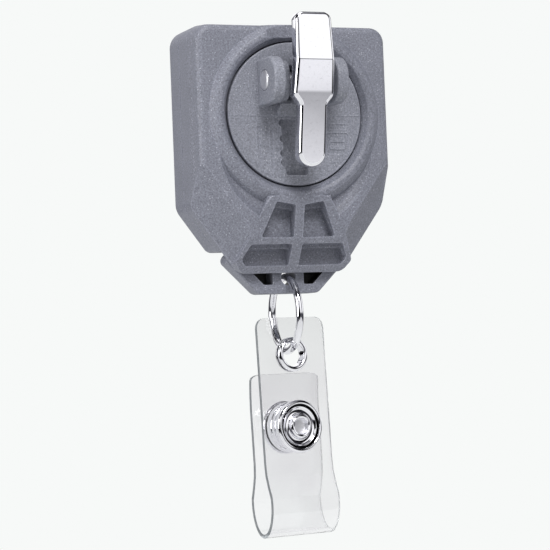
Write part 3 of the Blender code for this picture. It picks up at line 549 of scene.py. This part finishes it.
def shifted(shape, x=0.0, y=0.0, z=0.0):
    bmesh.ops.translate(shape, verts=shape.verts, vec=(x, y, z))
    return shape


def block(low, high, radius=0.0):
    """A box between two corners, its upright edges rounded."""
    return plate([(low[0], low[2], radius), (high[0], low[2], radius), (high[0], high[2], radius),
                  (low[0], high[2], radius)], low[1], high[1])


print("plates, rods and blocks ready")

# %% Booleans
SAME_PLACE = 1e-4            # millimetres within which two places are the same
FLAT_WITHIN = math.radians(0.3)
SHARP_FROM = 35.0            # degrees from which a fold stays a crisp edge


def working_object(shape):
    """A passing object that holds a shape for a boolean."""
    bmesh.ops.recalc_face_normals(shape, faces=shape.faces)
    mesh = bpy.data.meshes.new("working")
    shape.to_mesh(mesh)
    shape.free()
    held = bpy.data.objects.new("working", mesh)
    studio.collection.objects.link(held)
    return held


def combined(shape, *steps):
    """Union ("add"), difference ("cut") or intersection ("keep") with other shapes, in order."""
    operations = {"add": "UNION", "cut": "DIFFERENCE", "keep": "INTERSECT"}
    target = working_object(shape)
    tools = []
    for word, tool in steps:
        tools.append(working_object(tool))
        modifier = target.modifiers.new(word, "BOOLEAN")
        modifier.operation = operations[word]
        modifier.solver = "EXACT"
        modifier.object = tools[-1]
    solved = target.evaluated_get(bpy.context.evaluated_depsgraph_get())
    result = bmesh.new()
    result.from_mesh(solved.to_mesh())
    solved.to_mesh_clear()
    for spent in [target] + tools:
        mesh = spent.data
        bpy.data.objects.remove(spent, do_unlink=True)
        bpy.data.meshes.remove(mesh)
    bmesh.ops.remove_doubles(result, verts=result.verts, dist=2e-4)
    bmesh.ops.dissolve_limit(result, angle_limit=FLAT_WITHIN, verts=result.verts,
                             edges=result.edges)
    return result


print("booleans ready")


# %% Rounded edges
def lies_at(edge, depth):
    """Whether an edge lies in the plane at that depth."""
    return all(abs(vert.co.y - depth) < SAME_PLACE for vert in edge.verts)


def runs_flat(edge):
    """Whether an edge keeps one depth."""
    return abs(edge.verts[0].co.y - edge.verts[1].co.y) < SAME_PLACE


def softened(shape, width, segments=2, sharper_than=28.0, where=None):
    """Round every edge that is sharper than an angle, in degrees."""
    limit = math.radians(sharper_than)
    edges = [edge for edge in shape.edges if edge.is_manifold and edge.calc_face_angle() > limit
             and (where is None or where(edge))]
    bmesh.ops.bevel(shape, geom=edges, offset=width, offset_type="OFFSET", segments=segments,
                    profile=0.5, affect="EDGES", clamp_overlap=True, material=-1)
    return shape


print("edge rounding ready")


# %% Finished pieces
def placed(name, shape, finish, place=REEL, smooth=SHARP_FROM):
    """Put a shape in the shared frame as a finished piece."""
    bmesh.ops.transform(shape, matrix=place, verts=shape.verts)
    mesh = bpy.data.meshes.new(name)
    shape.to_mesh(mesh)
    open_edges = sum(not edge.is_manifold for edge in shape.edges)
    shape.free()
    mesh.shade_smooth()
    mesh.set_sharp_from_angle(angle=math.radians(smooth))
    for surface in finish if isinstance(finish, list) else [finish]:
        mesh.materials.append(surface)
    piece = bpy.data.objects.new(name, mesh)
    studio.collection.objects.link(piece)
    piece.modifiers.new("face_normals", "WEIGHTED_NORMAL").keep_sharp = True
    print(f"{name}: {len(mesh.polygons)} faces, {open_edges} open edges")
    return piece


def dressed(name, shape, finish, body, node, place=REEL, smooth=SHARP_FROM):
    """A finished piece that rides on a CAD body and stands for one of its nodes."""
    piece = placed(name, shape, finish, place, smooth)
    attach(piece, body)
    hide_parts(node)


print("pieces get their place, finish and body here")

# %% [markdown]
# ## Rear cover
# The clip side of the case is one moulding: a square top, two lower chamfers, a quarter-round rim,
# a raised collar round the disc's well, and a ribbed block below it. A plain block is cut to shape
# with planes first, its rim is rounded, and the collar, pockets and hollow follow as booleans.

# %% Case outline
HALF_WIDTH, TOP, LIP, LIP_HALF, SHOULDER = 16.4, 14.3, -24.7, 8.7, -14.2
PARTING = 7.25
SEAM = 0.09                  # half of the gap between the two covers
CASE_BOTTOM = -21.0
CREST = -0.9                 # depth of the collar's and the ribs' highest faces
WELL_RADIUS, BUSH_RADIUS = 12.7, 1.6
DRAFT_LINE = 4.2             # from here the sides lean inwards towards the rim
chamfer_run, chamfer_rise = HALF_WIDTH - LIP_HALF, SHOULDER - LIP


def chamfer_x(z, inset=0.0):
    """Half width of the lower chamfer at a height."""
    return (LIP_HALF + (z - LIP) * chamfer_run / chamfer_rise
            - inset * math.hypot(chamfer_run, chamfer_rise) / chamfer_rise)


def mirrored_corners(right_side):
    """Corners down the right side, then up the left."""
    return right_side + [(-x, z, radius) for x, z, radius in reversed(right_side)]


def case_corners(bottom, inset=0.0, low_radius=2.6):
    """The case's outline down to a height, drawn in by an inset."""
    half = HALF_WIDTH - inset
    shoulder = LIP + (half - chamfer_x(LIP, inset)) * chamfer_rise / chamfer_run
    corner = max(2.7 - inset, 0.9)
    return mirrored_corners([(half, TOP - inset, corner), (half, shoulder, corner),
                             (chamfer_x(bottom, inset), bottom, max(low_radius - inset, 0.8))])


print("case", 2 * HALF_WIDTH, "mm wide,", TOP - LIP, "mm tall with its lip")


# %% Rear block
def sliced(shape, point, outward):
    """Cut a convex shape with a plane and close it."""
    cut = bmesh.ops.bisect_plane(shape, geom=shape.verts[:] + shape.edges[:] + shape.faces[:],
                                 plane_co=point, plane_no=outward, clear_outer=True)
    rim = [item for item in cut["geom_cut"] if isinstance(item, bmesh.types.BMEdge)]
    bmesh.ops.contextual_create(shape, geom=rim)
    return shape


def rear_block():
    """Straight sides to the draft line, a slight draft to the rim, then the rim's rounding."""
    shape = plate(case_corners(LIP), DRAFT_LINE, PARTING - SEAM, steps=8)
    near_side = min(shape.faces, key=lambda face: face.calc_center_median().y)
    bmesh.ops.inset_region(shape, faces=[near_side], thickness=0.45, depth=DRAFT_LINE,
                           use_even_offset=True)
    softened(shape, 0.95, 6, 60, lambda edge: lies_at(edge, 0))
    length = math.hypot(chamfer_run, chamfer_rise)
    for side in (-1, 1):
        facing = Vector((side * chamfer_rise, -length, -chamfer_run))
        sliced(shape, Vector((side * LIP_HALF, 4.6, LIP)), facing.normalized())
    return shape


print("block ready")


# %% Collar and ribs
def well_and_collar():
    """The raised collar and the floor of the disc's well, in one turned body."""
    ring = turned([(3.56, 1.75, 0), (11.5, 1.75, 0.15), (11.5, 0.4, 0.15), (12.2, CREST + 0.2, 0.3),
                   (12.75, CREST, 0.35), (13.4, CREST + 0.08, 0.5), (14.25, -0.05, 0.2),
                   (14.85, 0.95, 0), (14.85, 3.05, 0), (3.56, 3.05, 0)], 144)
    return combined(ring, ("keep", plate(case_corners(LIP, 0.35), -2, 4)))


def valley():
    """A shallow scoop between the collar's foot and the lower face, deepest at the bottom."""
    scoop = turned([(0, -2, 0), (13.2, -2, 0), (13.2, -0.2, 0), (12.9, 0.05, 0.3), (12.0, 0.7, 0.9),
                    (10.6, 0.85, 0), (0, 0.85, 0)], 144, 6)
    return shifted(scoop, z=-4.9)


def ribbed_block():
    """The raised block under the collar, before its pockets are cut."""
    wide = chamfer_x(-23.0) - 0.05
    right = [(5.3, -12.9, 0), (wide, -23.0, 0.6), (LIP_HALF - 0.1, LIP, 1.6)]
    shape = plate(mirrored_corners(right), CREST + 0.04, 4.7)
    return softened(shape, 0.7, 4, 20, lambda edge: (
        all(vert.co.y < CREST + 0.1 and vert.co.z < -12.8 for vert in edge.verts)
        and min(vert.co.z for vert in edge.verts) < -13.2))


print("collar ready")


# %% Pockets and hollow
def pocket_cuts():
    """Four pockets, each with a small ledge under its upper wall."""
    upper = [(0.75, -14.3, 0.25), (3.95, -13.75, 0.3), (6.25, -19.25, 0.3), (0.75, -19.35, 0.25)]
    upper_deep = [(0.75, -15.0, 0.2), (4.2, -14.6, 0.3), (6.2, -19.25, 0.3), (0.75, -19.35, 0.25)]
    lower = [(0.85, -20.3, 0.25), (7.75, -20.3, 0.35), (9.0, -22.7, 0.6), (8.1, -23.6, 0.5),
             (0.85, -23.6, 0.25)]
    lower_deep = [(0.85, -21.0, 0.2), (7.9, -21.0, 0.3), (8.9, -22.7, 0.6), (8.05, -23.6, 0.5),
                  (0.85, -23.6, 0.25)]
    cuts = []
    for side in (-1, 1):
        for corners, floor_y in ((upper, 1.0), (upper_deep, 2.2), (lower, 2.7), (lower_deep, 4.2)):
            cuts.append(("cut", plate([(side * x, z, r) for x, z, r in corners], -3, floor_y, 4)))
    return cuts


def slope_cut():
    """Slopes the ribbed block back towards the lip."""
    return side_plate([(-3, -13.2, 0), (CREST - 0.02, -13.2, 0), (0.8, -19.8, 0), (4.1, -24.9, 0),
                       (4.1, -28, 0), (-3, -28, 0)], -20, 20)


def hollow(near, far):
    """The room inside the case."""
    right = [(14.8, 12.7, 1.0), (14.8, -12.4, 1.0), (9.3, -19.4, 1.0)]
    return plate(mirrored_corners(right), near, far)


def cord_exit():
    """Half of the round hole for the cord's bush, which the two covers share."""
    return shifted(rod(BUSH_RADIUS, -22, -17, axis="Z"), y=PARTING)


pockets = pocket_cuts()
print("pockets:", len(pockets) // 2)

# %% Rear cover
rear = combined(
    rear_block(), ("cut", valley()),
    ("add", ribbed_block()), ("cut", hollow(3.0, 9.0)), ("cut", slope_cut()),
    ("cut", rod(WELL_RADIUS, -3, 6, 90)),
    ("add", well_and_collar()), *pockets,
    ("cut", block((-4.6, -3, 11.9), (4.6, CREST + 0.55, 20))),
    ("cut", block((-20, 5.2, -30), (20, 12, CASE_BOTTOM))),
    ("cut", cord_exit()))
softened(rear, 0.18, 2, 24)
pinholes = [edge for edge in rear.edges if edge.is_boundary]
bmesh.ops.holes_fill(rear, edges=pinholes, sides=0)
bmesh.ops.recalc_face_normals(rear, faces=rear.faces)
print("closed", len(pinholes), "open edges that the rounding left")
dressed("rear_cover_moulding", rear, GREY_ABS, "case", "rear_cover")

# %% [markdown]
# ## Front cover
# The label side closes the case. It has the same outline without the lip, a small rim bevel, and a
# shallow recess for a label. Its edge at the parting line is eased, which draws the fine dark line
# along the case's side.

# %% Front cover
LABEL_FACE = 12.2
HUB_Z = -1.0                 # height of the spool's axle below the disc's centre
front = plate(case_corners(CASE_BOTTOM, 0.0, 1.2), PARTING + SEAM, LABEL_FACE, steps=8)
softened(front, 0.9, 4, 60, lambda edge: lies_at(edge, LABEL_FACE))
label_corners = mirrored_corners([(13.2, 11.2, 1.5), (13.2, -14.4, 1.5)])
front = combined(
    front, ("cut", hollow(5.0, 10.9)),
    ("add", shifted(rod(3.0, 10.6, 11.2, 64), z=HUB_Z)),
    ("cut", shifted(rod(1.53, 9, 11.65), z=HUB_Z)),
    ("cut", plate(label_corners, LABEL_FACE - 0.25, 14)),
    ("cut", cord_exit()))
softened(front, 0.12, 2, 28)
dressed("front_cover_moulding", front, GREY_ABS, "case", "front_cover")

# %% [markdown]
# ## Swivel disc
# The disc turns in the well. Two D-shaped ears stand on it and hold the lever's pin, with lower
# cheeks inside them and a small ramp between. Under the tongue is a tapered recess with half-round
# grip notches. The lower half is a shallow step down, with a few plain sunk panels and bars to
# break it up.

# %% Ears
DISC_RADIUS = 11.28
EAR_REACH = 6.2
PIN_Y, PIN_Z = -3.1, 4.8


def ears():
    """Two tall ears with a low cheek inside each, and a seat for each end of the pin."""
    made = []
    for side in (-1, 1):
        tall = side_plate([(0.6, 1.1, 0), (0.6, 8.3, 0), (-7.5, 8.3, 3.1), (-7.5, 1.1, 3.1)],
                          *sorted((side * 4.3, side * EAR_REACH)), 10)
        low = side_plate([(0.6, 1.6, 0), (0.6, 7.9, 0), (-4.9, 7.9, 1.9), (-4.9, 1.6, 1.9)],
                         *sorted((side * 2.6, side * 4.5)), 8)
        made += [("add", softened(tall, 0.38, 4, 60)), ("add", softened(low, 0.25, 3, 60))]
        recess = rod(1.72, 6.0, 7.5, axis="X")
        if side < 0:
            bmesh.ops.rotate(recess, cent=(0, 0, 0), matrix=Matrix.Rotation(math.pi, 3, "Z"),
                             verts=recess.verts)
        made.append(("cut", shifted(recess, y=PIN_Y, z=PIN_Z)))
    return made


print("ears", 2 * EAR_REACH, "mm across")


# %% Notches and panels
def grip_notches():
    """Half-round notches down the left side of the grip recess."""
    places = [(-2.25, -1.45, 0.62), (-2.15, -3.9, 0.62), (-2.0, -6.2, 0.75), (-1.95, -7.6, 0.75)]
    return [("cut", shifted(rod(radius, -1, 1.1, 28), x=x, z=z)) for x, z, radius in places]


def disc_panels():
    """The lower half is a step lower, with plain sunk panels and bars in it."""
    lower_face = combined(block((-12, -1, -12), (12, 0.1, -0.35)),
                          ("keep", rod(DISC_RADIUS - 0.25, -2, 1, 120)))
    sunk = [block((5.1, -1, -6.3), (9.0, 0.26, -3.0), 0.5),
            block((5.2, -1, -2.4), (8.6, 0.22, -1.6), 0.2),
            block((-6.6, -1, -8.0), (-6.0, 0.22, -2.0), 0.2),
            block((-4.4, -1, -8.8), (-3.8, 0.22, -2.6), 0.2)]
    raised = [block((5.8, 0.1, -4.4), (8.3, 0.4, -3.7), 0.2),
              block((5.8, 0.1, -5.6), (8.3, 0.4, -4.9), 0.2)]
    return ([("cut", lower_face)] + [("cut", item) for item in sunk]
            + [("add", item) for item in raised])


notches = grip_notches()
print("notches:", len(notches))

# %% Swivel disc
disc = turned([(0, 0, 0), (DISC_RADIUS, 0, 0.2), (DISC_RADIUS, 1.6, 0), (3.5, 1.6, 0),
               (3.5, HUB_REACH, 0), (0, HUB_REACH, 0)], 128)
ramp = side_plate([(0.6, -0.3, 0), (0, -0.3, 0), (-1.3, 1.4, 0), (-1.3, 1.9, 0), (0.6, 1.9, 0)],
                  -2.9, 2.9)
grip_recess = plate([(-2.5, -0.9, 0.15), (2.5, -0.9, 0.15), (1.9, -9.6, 0.4), (-1.9, -9.6, 0.4)],
                    -1, 1.15)
pin_bore = shifted(rod(1.45, -8, 8, axis="X"), y=PIN_Y, z=PIN_Z)
screw_hole = rod(0.65, 1.0, 4, 24)
disc = combined(disc, *disc_panels(), *ears(), ("add", ramp), ("cut", grip_recess),
                *notches, ("cut", pin_bore), ("cut", screw_hole))
softened(disc, 0.14, 2, 30)
dressed("swivel_disc_moulding", disc, DISC_ABS, "clip_base", "swivel_disc")

# %% [markdown]
# ## Hinge pin and spring
# The pin is a plated rivet with a low domed end, pressed into both ears. A wire spring is wound
# round it between the lever's lugs. Spinning a small circle with a step along the axis makes the
# coil.

# %% Hinge pin
PIN_REACH = 6.5
pin = turned([(0, -PIN_REACH, 0), (1.2, -PIN_REACH + 0.08, 0.4), (1.55, -PIN_REACH + 0.25, 0.12),
              (1.55, -6.05, 0), (1.4, -6.05, 0), (1.4, 6.05, 0), (1.55, 6.05, 0),
              (1.55, PIN_REACH - 0.25, 0.12), (1.2, PIN_REACH - 0.08, 0.4), (0, PIN_REACH, 0)], 64,
             axis="X")
shifted(pin, y=PIN_Y, z=PIN_Z)
dressed("hinge_pin_rivet", pin, BURNISHED, "clip_base", "hinge_pin")

# %% Spring
WIRE, COIL_RADIUS, COIL_TURNS = 0.22, 1.78, 4.25
COIL_LENGTH = 2.4
STEPS_A_TURN = 28
SPRING_LEG = (0.1, -0.15, 3.6)


def sprung_coil():
    """A wound wire with one straight leg that lies behind the lever."""
    coil = bmesh.new()
    bmesh.ops.create_circle(coil, cap_ends=False, radius=WIRE, segments=12)
    start = Matrix.Translation((-COIL_LENGTH / 2, 0, COIL_RADIUS)) @ Matrix.Rotation(
        math.radians(90), 4, "X")
    bmesh.ops.transform(coil, matrix=start, verts=coil.verts)
    steps = int(COIL_TURNS * STEPS_A_TURN)
    spun = bmesh.ops.spin(coil, geom=coil.verts[:] + coil.edges[:], cent=(0, 0, 0),
                          axis=(1, 0, 0), dvec=(COIL_LENGTH / steps, 0, 0),
                          angle=COIL_TURNS * math.tau, steps=steps)
    last = [item for item in spun["geom_last"] if isinstance(item, bmesh.types.BMEdge)]
    grown = bmesh.ops.extrude_edge_only(coil, edges=last)
    tip = [item for item in grown["geom"] if isinstance(item, bmesh.types.BMVert)]
    bmesh.ops.translate(coil, verts=tip, vec=SPRING_LEG)
    bmesh.ops.holes_fill(coil, edges=[edge for edge in coil.edges if edge.is_boundary], sides=0)
    bmesh.ops.recalc_face_normals(coil, faces=coil.faces)
    return shifted(coil, y=PIN_Y, z=PIN_Z)


dressed("torsion_spring_coil", sprung_coil(), STEEL, "clip_base", "torsion_spring")

# %% [markdown]
# ## Lever
# The lever is stamped from thick strip: a finger tab above, a narrower tongue below with a round
# tip, and one bend between them just above the pin. The blank is cut first and its rim rounded,
# because polish rounds the edge before plating. Then rows of points are cut in at the bend, and
# the whole blank is set to its side profile.

# %% Side profile of the lever
CREASE_Z, CREASE_Y = 7.2, -9.3
BLADE = 2.1                  # thickness of the strip


def near_face(z):
    """Depth of the lever's near face at a height."""
    if z > CREASE_Z:
        return CREASE_Y + (z - CREASE_Z) * 0.05
    below = CREASE_Z - z
    return CREASE_Y + below * 0.235 - max(below - 4.5, 0) * 0.06


print("lever's near face at the disc's centre:", round(near_face(0), 2), "mm")

# %% Lever
tab_half, tongue_half, tip_z = 2.95, 2.3, -8.9
lever_corners = mirrored_corners([
    (tab_half, 14.7, 1.3), (tab_half + 0.4, 1.9, 1.0), (tongue_half, 0.6, 1.0),
    (tongue_half, tip_z, tongue_half - 0.06)])
lever = plate(lever_corners, 0, BLADE, steps=10)
for cut_z in (CREASE_Z + 0.25, CREASE_Z, CREASE_Z - 0.25, CREASE_Z - 4.5):
    bmesh.ops.bisect_plane(lever, geom=lever.verts[:] + lever.edges[:] + lever.faces[:],
                           plane_co=(0, 0, cut_z), plane_no=(0, 0, 1))
softened(lever, 0.6, 3, 60, lambda edge: lies_at(edge, 0))
softened(lever, 0.25, 3, 60, lambda edge: lies_at(edge, BLADE))
for vert in lever.verts:
    vert.co.y += near_face(vert.co.z)
lug_steps = []
for side in (-1, 1):
    inner, outer = sorted((side * 1.75, side * 2.4))
    lug = side_plate([(PIN_Y + 2.3, PIN_Z + 2.3, 2.29), (-7.2, PIN_Z + 2.2, 0),
                      (-7.2, PIN_Z - 2.2, 0), (PIN_Y + 2.3, PIN_Z - 2.3, 2.29)], inner, outer, 12)
    lug_steps.append(("add", lug))
lug_steps.append(("cut", shifted(rod(1.46, -4, 4, axis="X"), y=PIN_Y, z=PIN_Z)))
lever = combined(lever, *lug_steps)
dressed("clip_lever_stamping", lever, NICKEL, "lever", "clip_lever", smooth=40)

# %% [markdown]
# ## Cord's end fitting
# The fitting that stops the cord at the case is a flat six-sided plate with two blind windows, a
# hole for the ring and a seat for the cord's crimp. The windows are deep and look nearly black, so
# their floors get a near-black material: painted shade.

# %% End fitting
fitting_right = [(9.6, -21.35, 1.0), (10.5, -22.6, 0.9), (5.1, -27.95, 1.3)]
fitting = plate(mirrored_corners(fitting_right), 5.5, 9.0, steps=6)
softened(fitting, 0.3, 3, 60, runs_flat)
fitting_cuts = []
for side in (-1, 1):
    window = [(side * 2.65, -22.2, 0.2), (side * 8.4, -22.2, 0.2), (side * 4.2, -26.5, 0.5),
              (side * 2.65, -26.5, 0.2)]
    fitting_cuts.append(("cut", plate(window, 4, 8.2, 4)))
ring_hole = shifted(rod(1.25, 4, 10, 40), z=-25.4)
crimp_seat = shifted(rod(0.98, 6.25, 10, 32), z=-22.75)
cord_bore = shifted(rod(0.5, -22.4, -20, 24, axis="Z"), y=PARTING)
fitting = combined(fitting, *fitting_cuts, ("cut", ring_hole), ("cut", crimp_seat),
                   ("cut", cord_bore))
softened(fitting, 0.12, 2, 40)
# Painted shade: the window floors take the near-black material.
for face in fitting.faces:
    centre = face.calc_center_median()
    window_side = 8.5 + (centre.z + 22.2) * 0.97
    if 2.7 < abs(centre.x) < window_side and 5.9 < centre.y < 8.3 and -26.6 < centre.z < -22.1:
        face.material_index = 1
dressed("end_fitting_moulding", fitting, [GREY_ABS, PAINTED_SHADE_ABS], "cord_end",
        "end_fitting")

# %% [markdown]
# ## Jump ring
# The ring is one turn of round wire, closed until its ends meet. A circle is spun almost all the
# way round, which leaves the fine gap of the butt joint.

# %% Jump ring
RING_RADIUS, RING_WIRE = 5.85, 0.6
JOINT_GAP = 0.02             # radians
JOINT_ANGLE = math.radians(-112)
ring = bmesh.new()
bmesh.ops.create_circle(ring, cap_ends=False, radius=RING_WIRE, segments=32)
bmesh.ops.transform(ring, matrix=Matrix.Translation((0, 0, RING_RADIUS)) @ Matrix.Rotation(
    math.radians(90), 4, "X"), verts=ring.verts)
bmesh.ops.rotate(ring, cent=(0, 0, 0), matrix=Matrix.Rotation(JOINT_ANGLE, 3, "X"),
                 verts=ring.verts)
bmesh.ops.spin(ring, geom=ring.verts[:] + ring.edges[:], cent=(0, 0, 0), axis=(1, 0, 0),
               angle=math.tau - JOINT_GAP, steps=192)
bmesh.ops.holes_fill(ring, edges=[edge for edge in ring.edges if edge.is_boundary], sides=0)
bmesh.ops.recalc_face_normals(ring, faces=ring.faces)
dressed("jump_ring_wire", ring, NICKEL, "ring", "jump_ring", place=RING)

# %% [markdown]
# ## Strap
# The strap is one length of clear sheet folded into a loop. Its middle line is a smooth curve from
# the long leaf, round the loop, to the short leaf. That line is extruded to the strap's width and
# given its thickness.

# %% Fold of the strap
LEAF_GAP = 3.0
LEAF_TOP, SHORT_TOP, SNAP_Z = 5.9, -2.9, -11.4
LOOP_START, LOOP_LOW = -17.0, -28.2
LOOP_BULGE, LOOP_RISE = 1.25, 5.0
SHORT_LEAN = 0.5             # the free end leans towards the long leaf
SHEET = 0.6
STRAP_HALF = 6.35
CORNER_ROUND = 1.7


def strap_line():
    """(y, z) points of the folded sheet's middle line."""
    middle, reach = LEAF_GAP / 2, LEAF_GAP / 2 + LOOP_BULGE
    near = [(0.0, LEAF_TOP - i * (LEAF_TOP - LOOP_START) / 12) for i in range(13)]
    neck = [(-0.15, LOOP_START - 1.8), (-0.62, LOOP_START - 3.6)]
    bowl = [(middle + reach * math.cos(math.radians(angle)),
             LOOP_LOW + LOOP_RISE * (1 + math.sin(math.radians(angle))))
            for angle in range(170, 371, 5)]
    far_neck = [(LEAF_GAP - y, z) for y, z in reversed(neck)]
    far = [(LEAF_GAP - SHORT_LEAN * max(0, i - 9) ** 2 / 49,
            LOOP_START + i * (SHORT_TOP - LOOP_START) / 16) for i in range(17)]
    return near + neck + bowl + far_neck + far


line = strap_line()
sheet_length = sum(math.dist(*pair) for pair in zip(line, line[1:]))
print("strap cut from", round(sheet_length, 1), "mm of sheet")

# %% Sheet
sheet = bmesh.new()
line_verts = [sheet.verts.new((-STRAP_HALF, y, z)) for y, z in line]
line_edges = [sheet.edges.new(pair) for pair in zip(line_verts, line_verts[1:])]
grown = bmesh.ops.extrude_edge_only(sheet, edges=line_edges)
far_side = [item for item in grown["geom"] if isinstance(item, bmesh.types.BMVert)]
bmesh.ops.translate(sheet, verts=far_side, vec=(2 * STRAP_HALF, 0, 0))
sheet.verts.ensure_lookup_table()
ends = [vert for vert in sheet.verts if abs(vert.co.z - LEAF_TOP) < SAME_PLACE or (
    abs(vert.co.z - SHORT_TOP) < SAME_PLACE and vert.co.y > 1)]
for vert in ends:
    bmesh.ops.bevel(sheet, geom=[vert], offset=CORNER_ROUND, offset_type="OFFSET", segments=8,
                    profile=0.5, affect="VERTICES", material=-1)
bmesh.ops.recalc_face_normals(sheet, faces=sheet.faces)
sheet.normal_update()
for vert in sheet.verts:
    vert.co += vert.normal * SHEET / 2
bmesh.ops.solidify(sheet, geom=sheet.faces[:], thickness=SHEET)
print("sheet of", round(sheet.calc_volume(signed=True)), "cubic mm")


# %% Strap
EYELET_HOLE, RIVET_HOLE = 2.35, 1.3
sheet = combined(sheet, ("cut", rod(EYELET_HOLE, -1, 1)),
                 ("cut", shifted(rod(RIVET_HOLE, -1, LEAF_GAP + 1), z=SNAP_Z)))
softened(sheet, 0.08, 1, 50)
for face in sheet.faces:
    centre = face.calc_center_median()
    at_hole = centre.xz.length < 2.5 or (centre.xz - Vector((0, SNAP_Z))).length < 1.5
    at_side = abs(face.normal.x) > 0.3
    at_end = centre.z > SHORT_TOP - 2 and face.normal.z > 0.3
    if (at_side or at_end) and not at_hole:
        face.material_index = 1
strap = placed("vinyl_strap", sheet, [VINYL, CUT_EDGE], STRAP)
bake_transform(strap)
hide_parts("strap_long_leaf", "strap_short_leaf")
print("the fold turns between the leaves over", LEAF_GAP - 2 * SHORT_LEAN, "mm")

# %% [markdown]
# ## Eyelet
# An eyelet is a thin drawn tube whose two ends are rolled outwards over the sheet. Its lips are
# rounded all over, so the turned profile has large corner radii.

# %% Eyelet
HOLE, FLANGE = 1.92, 2.75
LIP_NEAR, LIP_RISE = SHEET / 2 + 0.04, 0.55
near_lip = [(HOLE, -LIP_NEAR - LIP_RISE + 0.1, 0.25), (HOLE + 0.45, -LIP_NEAR - LIP_RISE, 0.3),
            (FLANGE, -LIP_NEAR - 0.25, 0.2), (FLANGE, -LIP_NEAR, 0.04),
            (HOLE + 0.33, -LIP_NEAR, 0)]
far_lip = [(radius, -depth, corner) for radius, depth, corner in reversed(near_lip)]
eyelet = turned(near_lip + far_lip, 96, 5)
dressed("drawn_eyelet", eyelet, NICKEL, "strap", "eyelet", place=STRAP)

# %% [markdown]
# ## Snap fastener
# A press stud has four stamped parts. The post's flange shows a rolled rim, a groove, a dished
# ring and a central barrel; it clenches the stud on the sheet's other side. On the short leaf the
# socket holds a sprung wire, and a cap closes it from behind.

# %% Snap post
near_sheet = -LIP_NEAR
post = turned([(0, near_sheet - 0.42, 0), (1.18, near_sheet - 0.38, 0.15),
               (1.3, near_sheet - 1.18, 0.08), (1.62, near_sheet - 1.28, 0.12),
               (1.85, near_sheet - 1.1, 0.12), (2.05, near_sheet - 0.5, 0.35),
               (2.75, near_sheet - 0.42, 0.6), (3.2, near_sheet - 0.85, 0.1),
               (3.24, near_sheet - 0.2, 0.02), (3.5, near_sheet - 0.2, 0.02),
               (3.54, near_sheet - 1.0, 0.12), (3.85, near_sheet - 1.15, 0.25),
               (4.2, near_sheet - 0.8, 0.3), (4.15, near_sheet, 0.1), (1.2, near_sheet, 0),
               (1.2, 1.1, 0.1), (0, 1.1, 0)], 128, 4)
for face in post.faces:
    centre = face.calc_center_median()
    # Painted shade: the groove's faces take the near-black material.
    if 3.2 < centre.xz.length < 3.55 and near_sheet - 0.9 < centre.y < near_sheet - 0.1:
        face.material_index = 1
    if centre.xz.length < 1.25 and centre.y < 0:
        face.material_index = 2
dressed("snap_post_flange", shifted(post, z=SNAP_Z), [NICKEL, PAINTED_GROOVE_SHADE, BURNISHED], "strap",
        "snap_post", place=STRAP)
# %% Stud, socket and cap
stud = turned([(1.25, LIP_NEAR, 0), (3.9, LIP_NEAR, 0.1), (3.9, LIP_NEAR + 0.25, 0.1),
               (1.75, LIP_NEAR + 0.33, 0.1), (1.85, 1.7, 0.1), (1.6, 2.0, 0.15), (0.3, 2.0, 0.1),
               (0.3, 1.2, 0), (1.25, 1.2, 0)], 96)
dressed("snap_stud_drawn", shifted(stud, z=SNAP_Z), NICKEL, "strap", "snap_stud",
        place=STRAP)
inner_face = LEAF_GAP - LIP_NEAR
socket = turned([(2.1, 1.1, 0.1), (3.6, 1.1, 0.3), (4.0, 1.5, 0.3), (4.0, inner_face, 0.1),
                 (1.3, inner_face, 0), (1.3, inner_face - 0.25, 0), (2.9, inner_face - 0.25, 0),
                 (2.9, 1.55, 0), (2.1, 1.45, 0)], 96)
dressed("snap_socket_drawn", shifted(socket, z=SNAP_Z), NICKEL, "flap", "snap_socket",
        place=STRAP)
outer_face = LEAF_GAP + LIP_NEAR
cap = turned([(0, outer_face - 1.1, 0), (1.2, outer_face - 1.1, 0.1), (1.2, outer_face, 0),
              (4.0, outer_face, 0.1), (4.25, outer_face + 0.3, 0.15), (3.9, outer_face + 0.75, 0.4),
              (2.4, outer_face + 1.0, 1.2), (0, outer_face + 1.05, 0)], 96)
dressed("snap_cap_domed", shifted(cap, z=SNAP_Z), NICKEL, "flap", "snap_cap",
        place=STRAP)

# %% [markdown]
# ## Pull cord
# The cord runs from the spool through the brass bush into the fitting. The straight part below the
# bush is where it lengthens when it is pulled, so that part is a separate piece between the case
# and the fitting. The part inside the case keeps its CAD shape.

# %% Pull cord
CORD_TOP, CORD_BOTTOM, CORD_RADIUS = -19.6, -21.75, 0.375
cord = shifted(rod(CORD_RADIUS, CORD_BOTTOM, CORD_TOP, 24, axis="Z"), y=PARTING)
pull_cord = placed("pull_cord", cord, CORD)
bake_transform(pull_cord)
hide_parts("cord_lead")
print("cord piece", round(CORD_TOP - CORD_BOTTOM, 2), "mm long at rest")

# %% [markdown]
# ## Working parts
# The spool, its spring and the small fixings keep their CAD shapes. Each takes the finish of its
# own material in place of the plain CAD colour.

# %% Working parts
inside = {
    "retaining_washer": STEEL, "retaining_screw": STEEL, "axle_post": STEEL, "thrust_washer": STEEL,
    "power_spring": STEEL, "snap_spring": STEEL, "spool": ACETAL, "spool_cap": ACETAL,
    "wound_cord": CORD, "cord_bush": BRASS, "cord_crimp": BRASS}
for name, surface in inside.items():
    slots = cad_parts[name].data.materials
    for index in range(len(slots)):
        slots[index] = surface
print("finished", len(inside), "working parts")
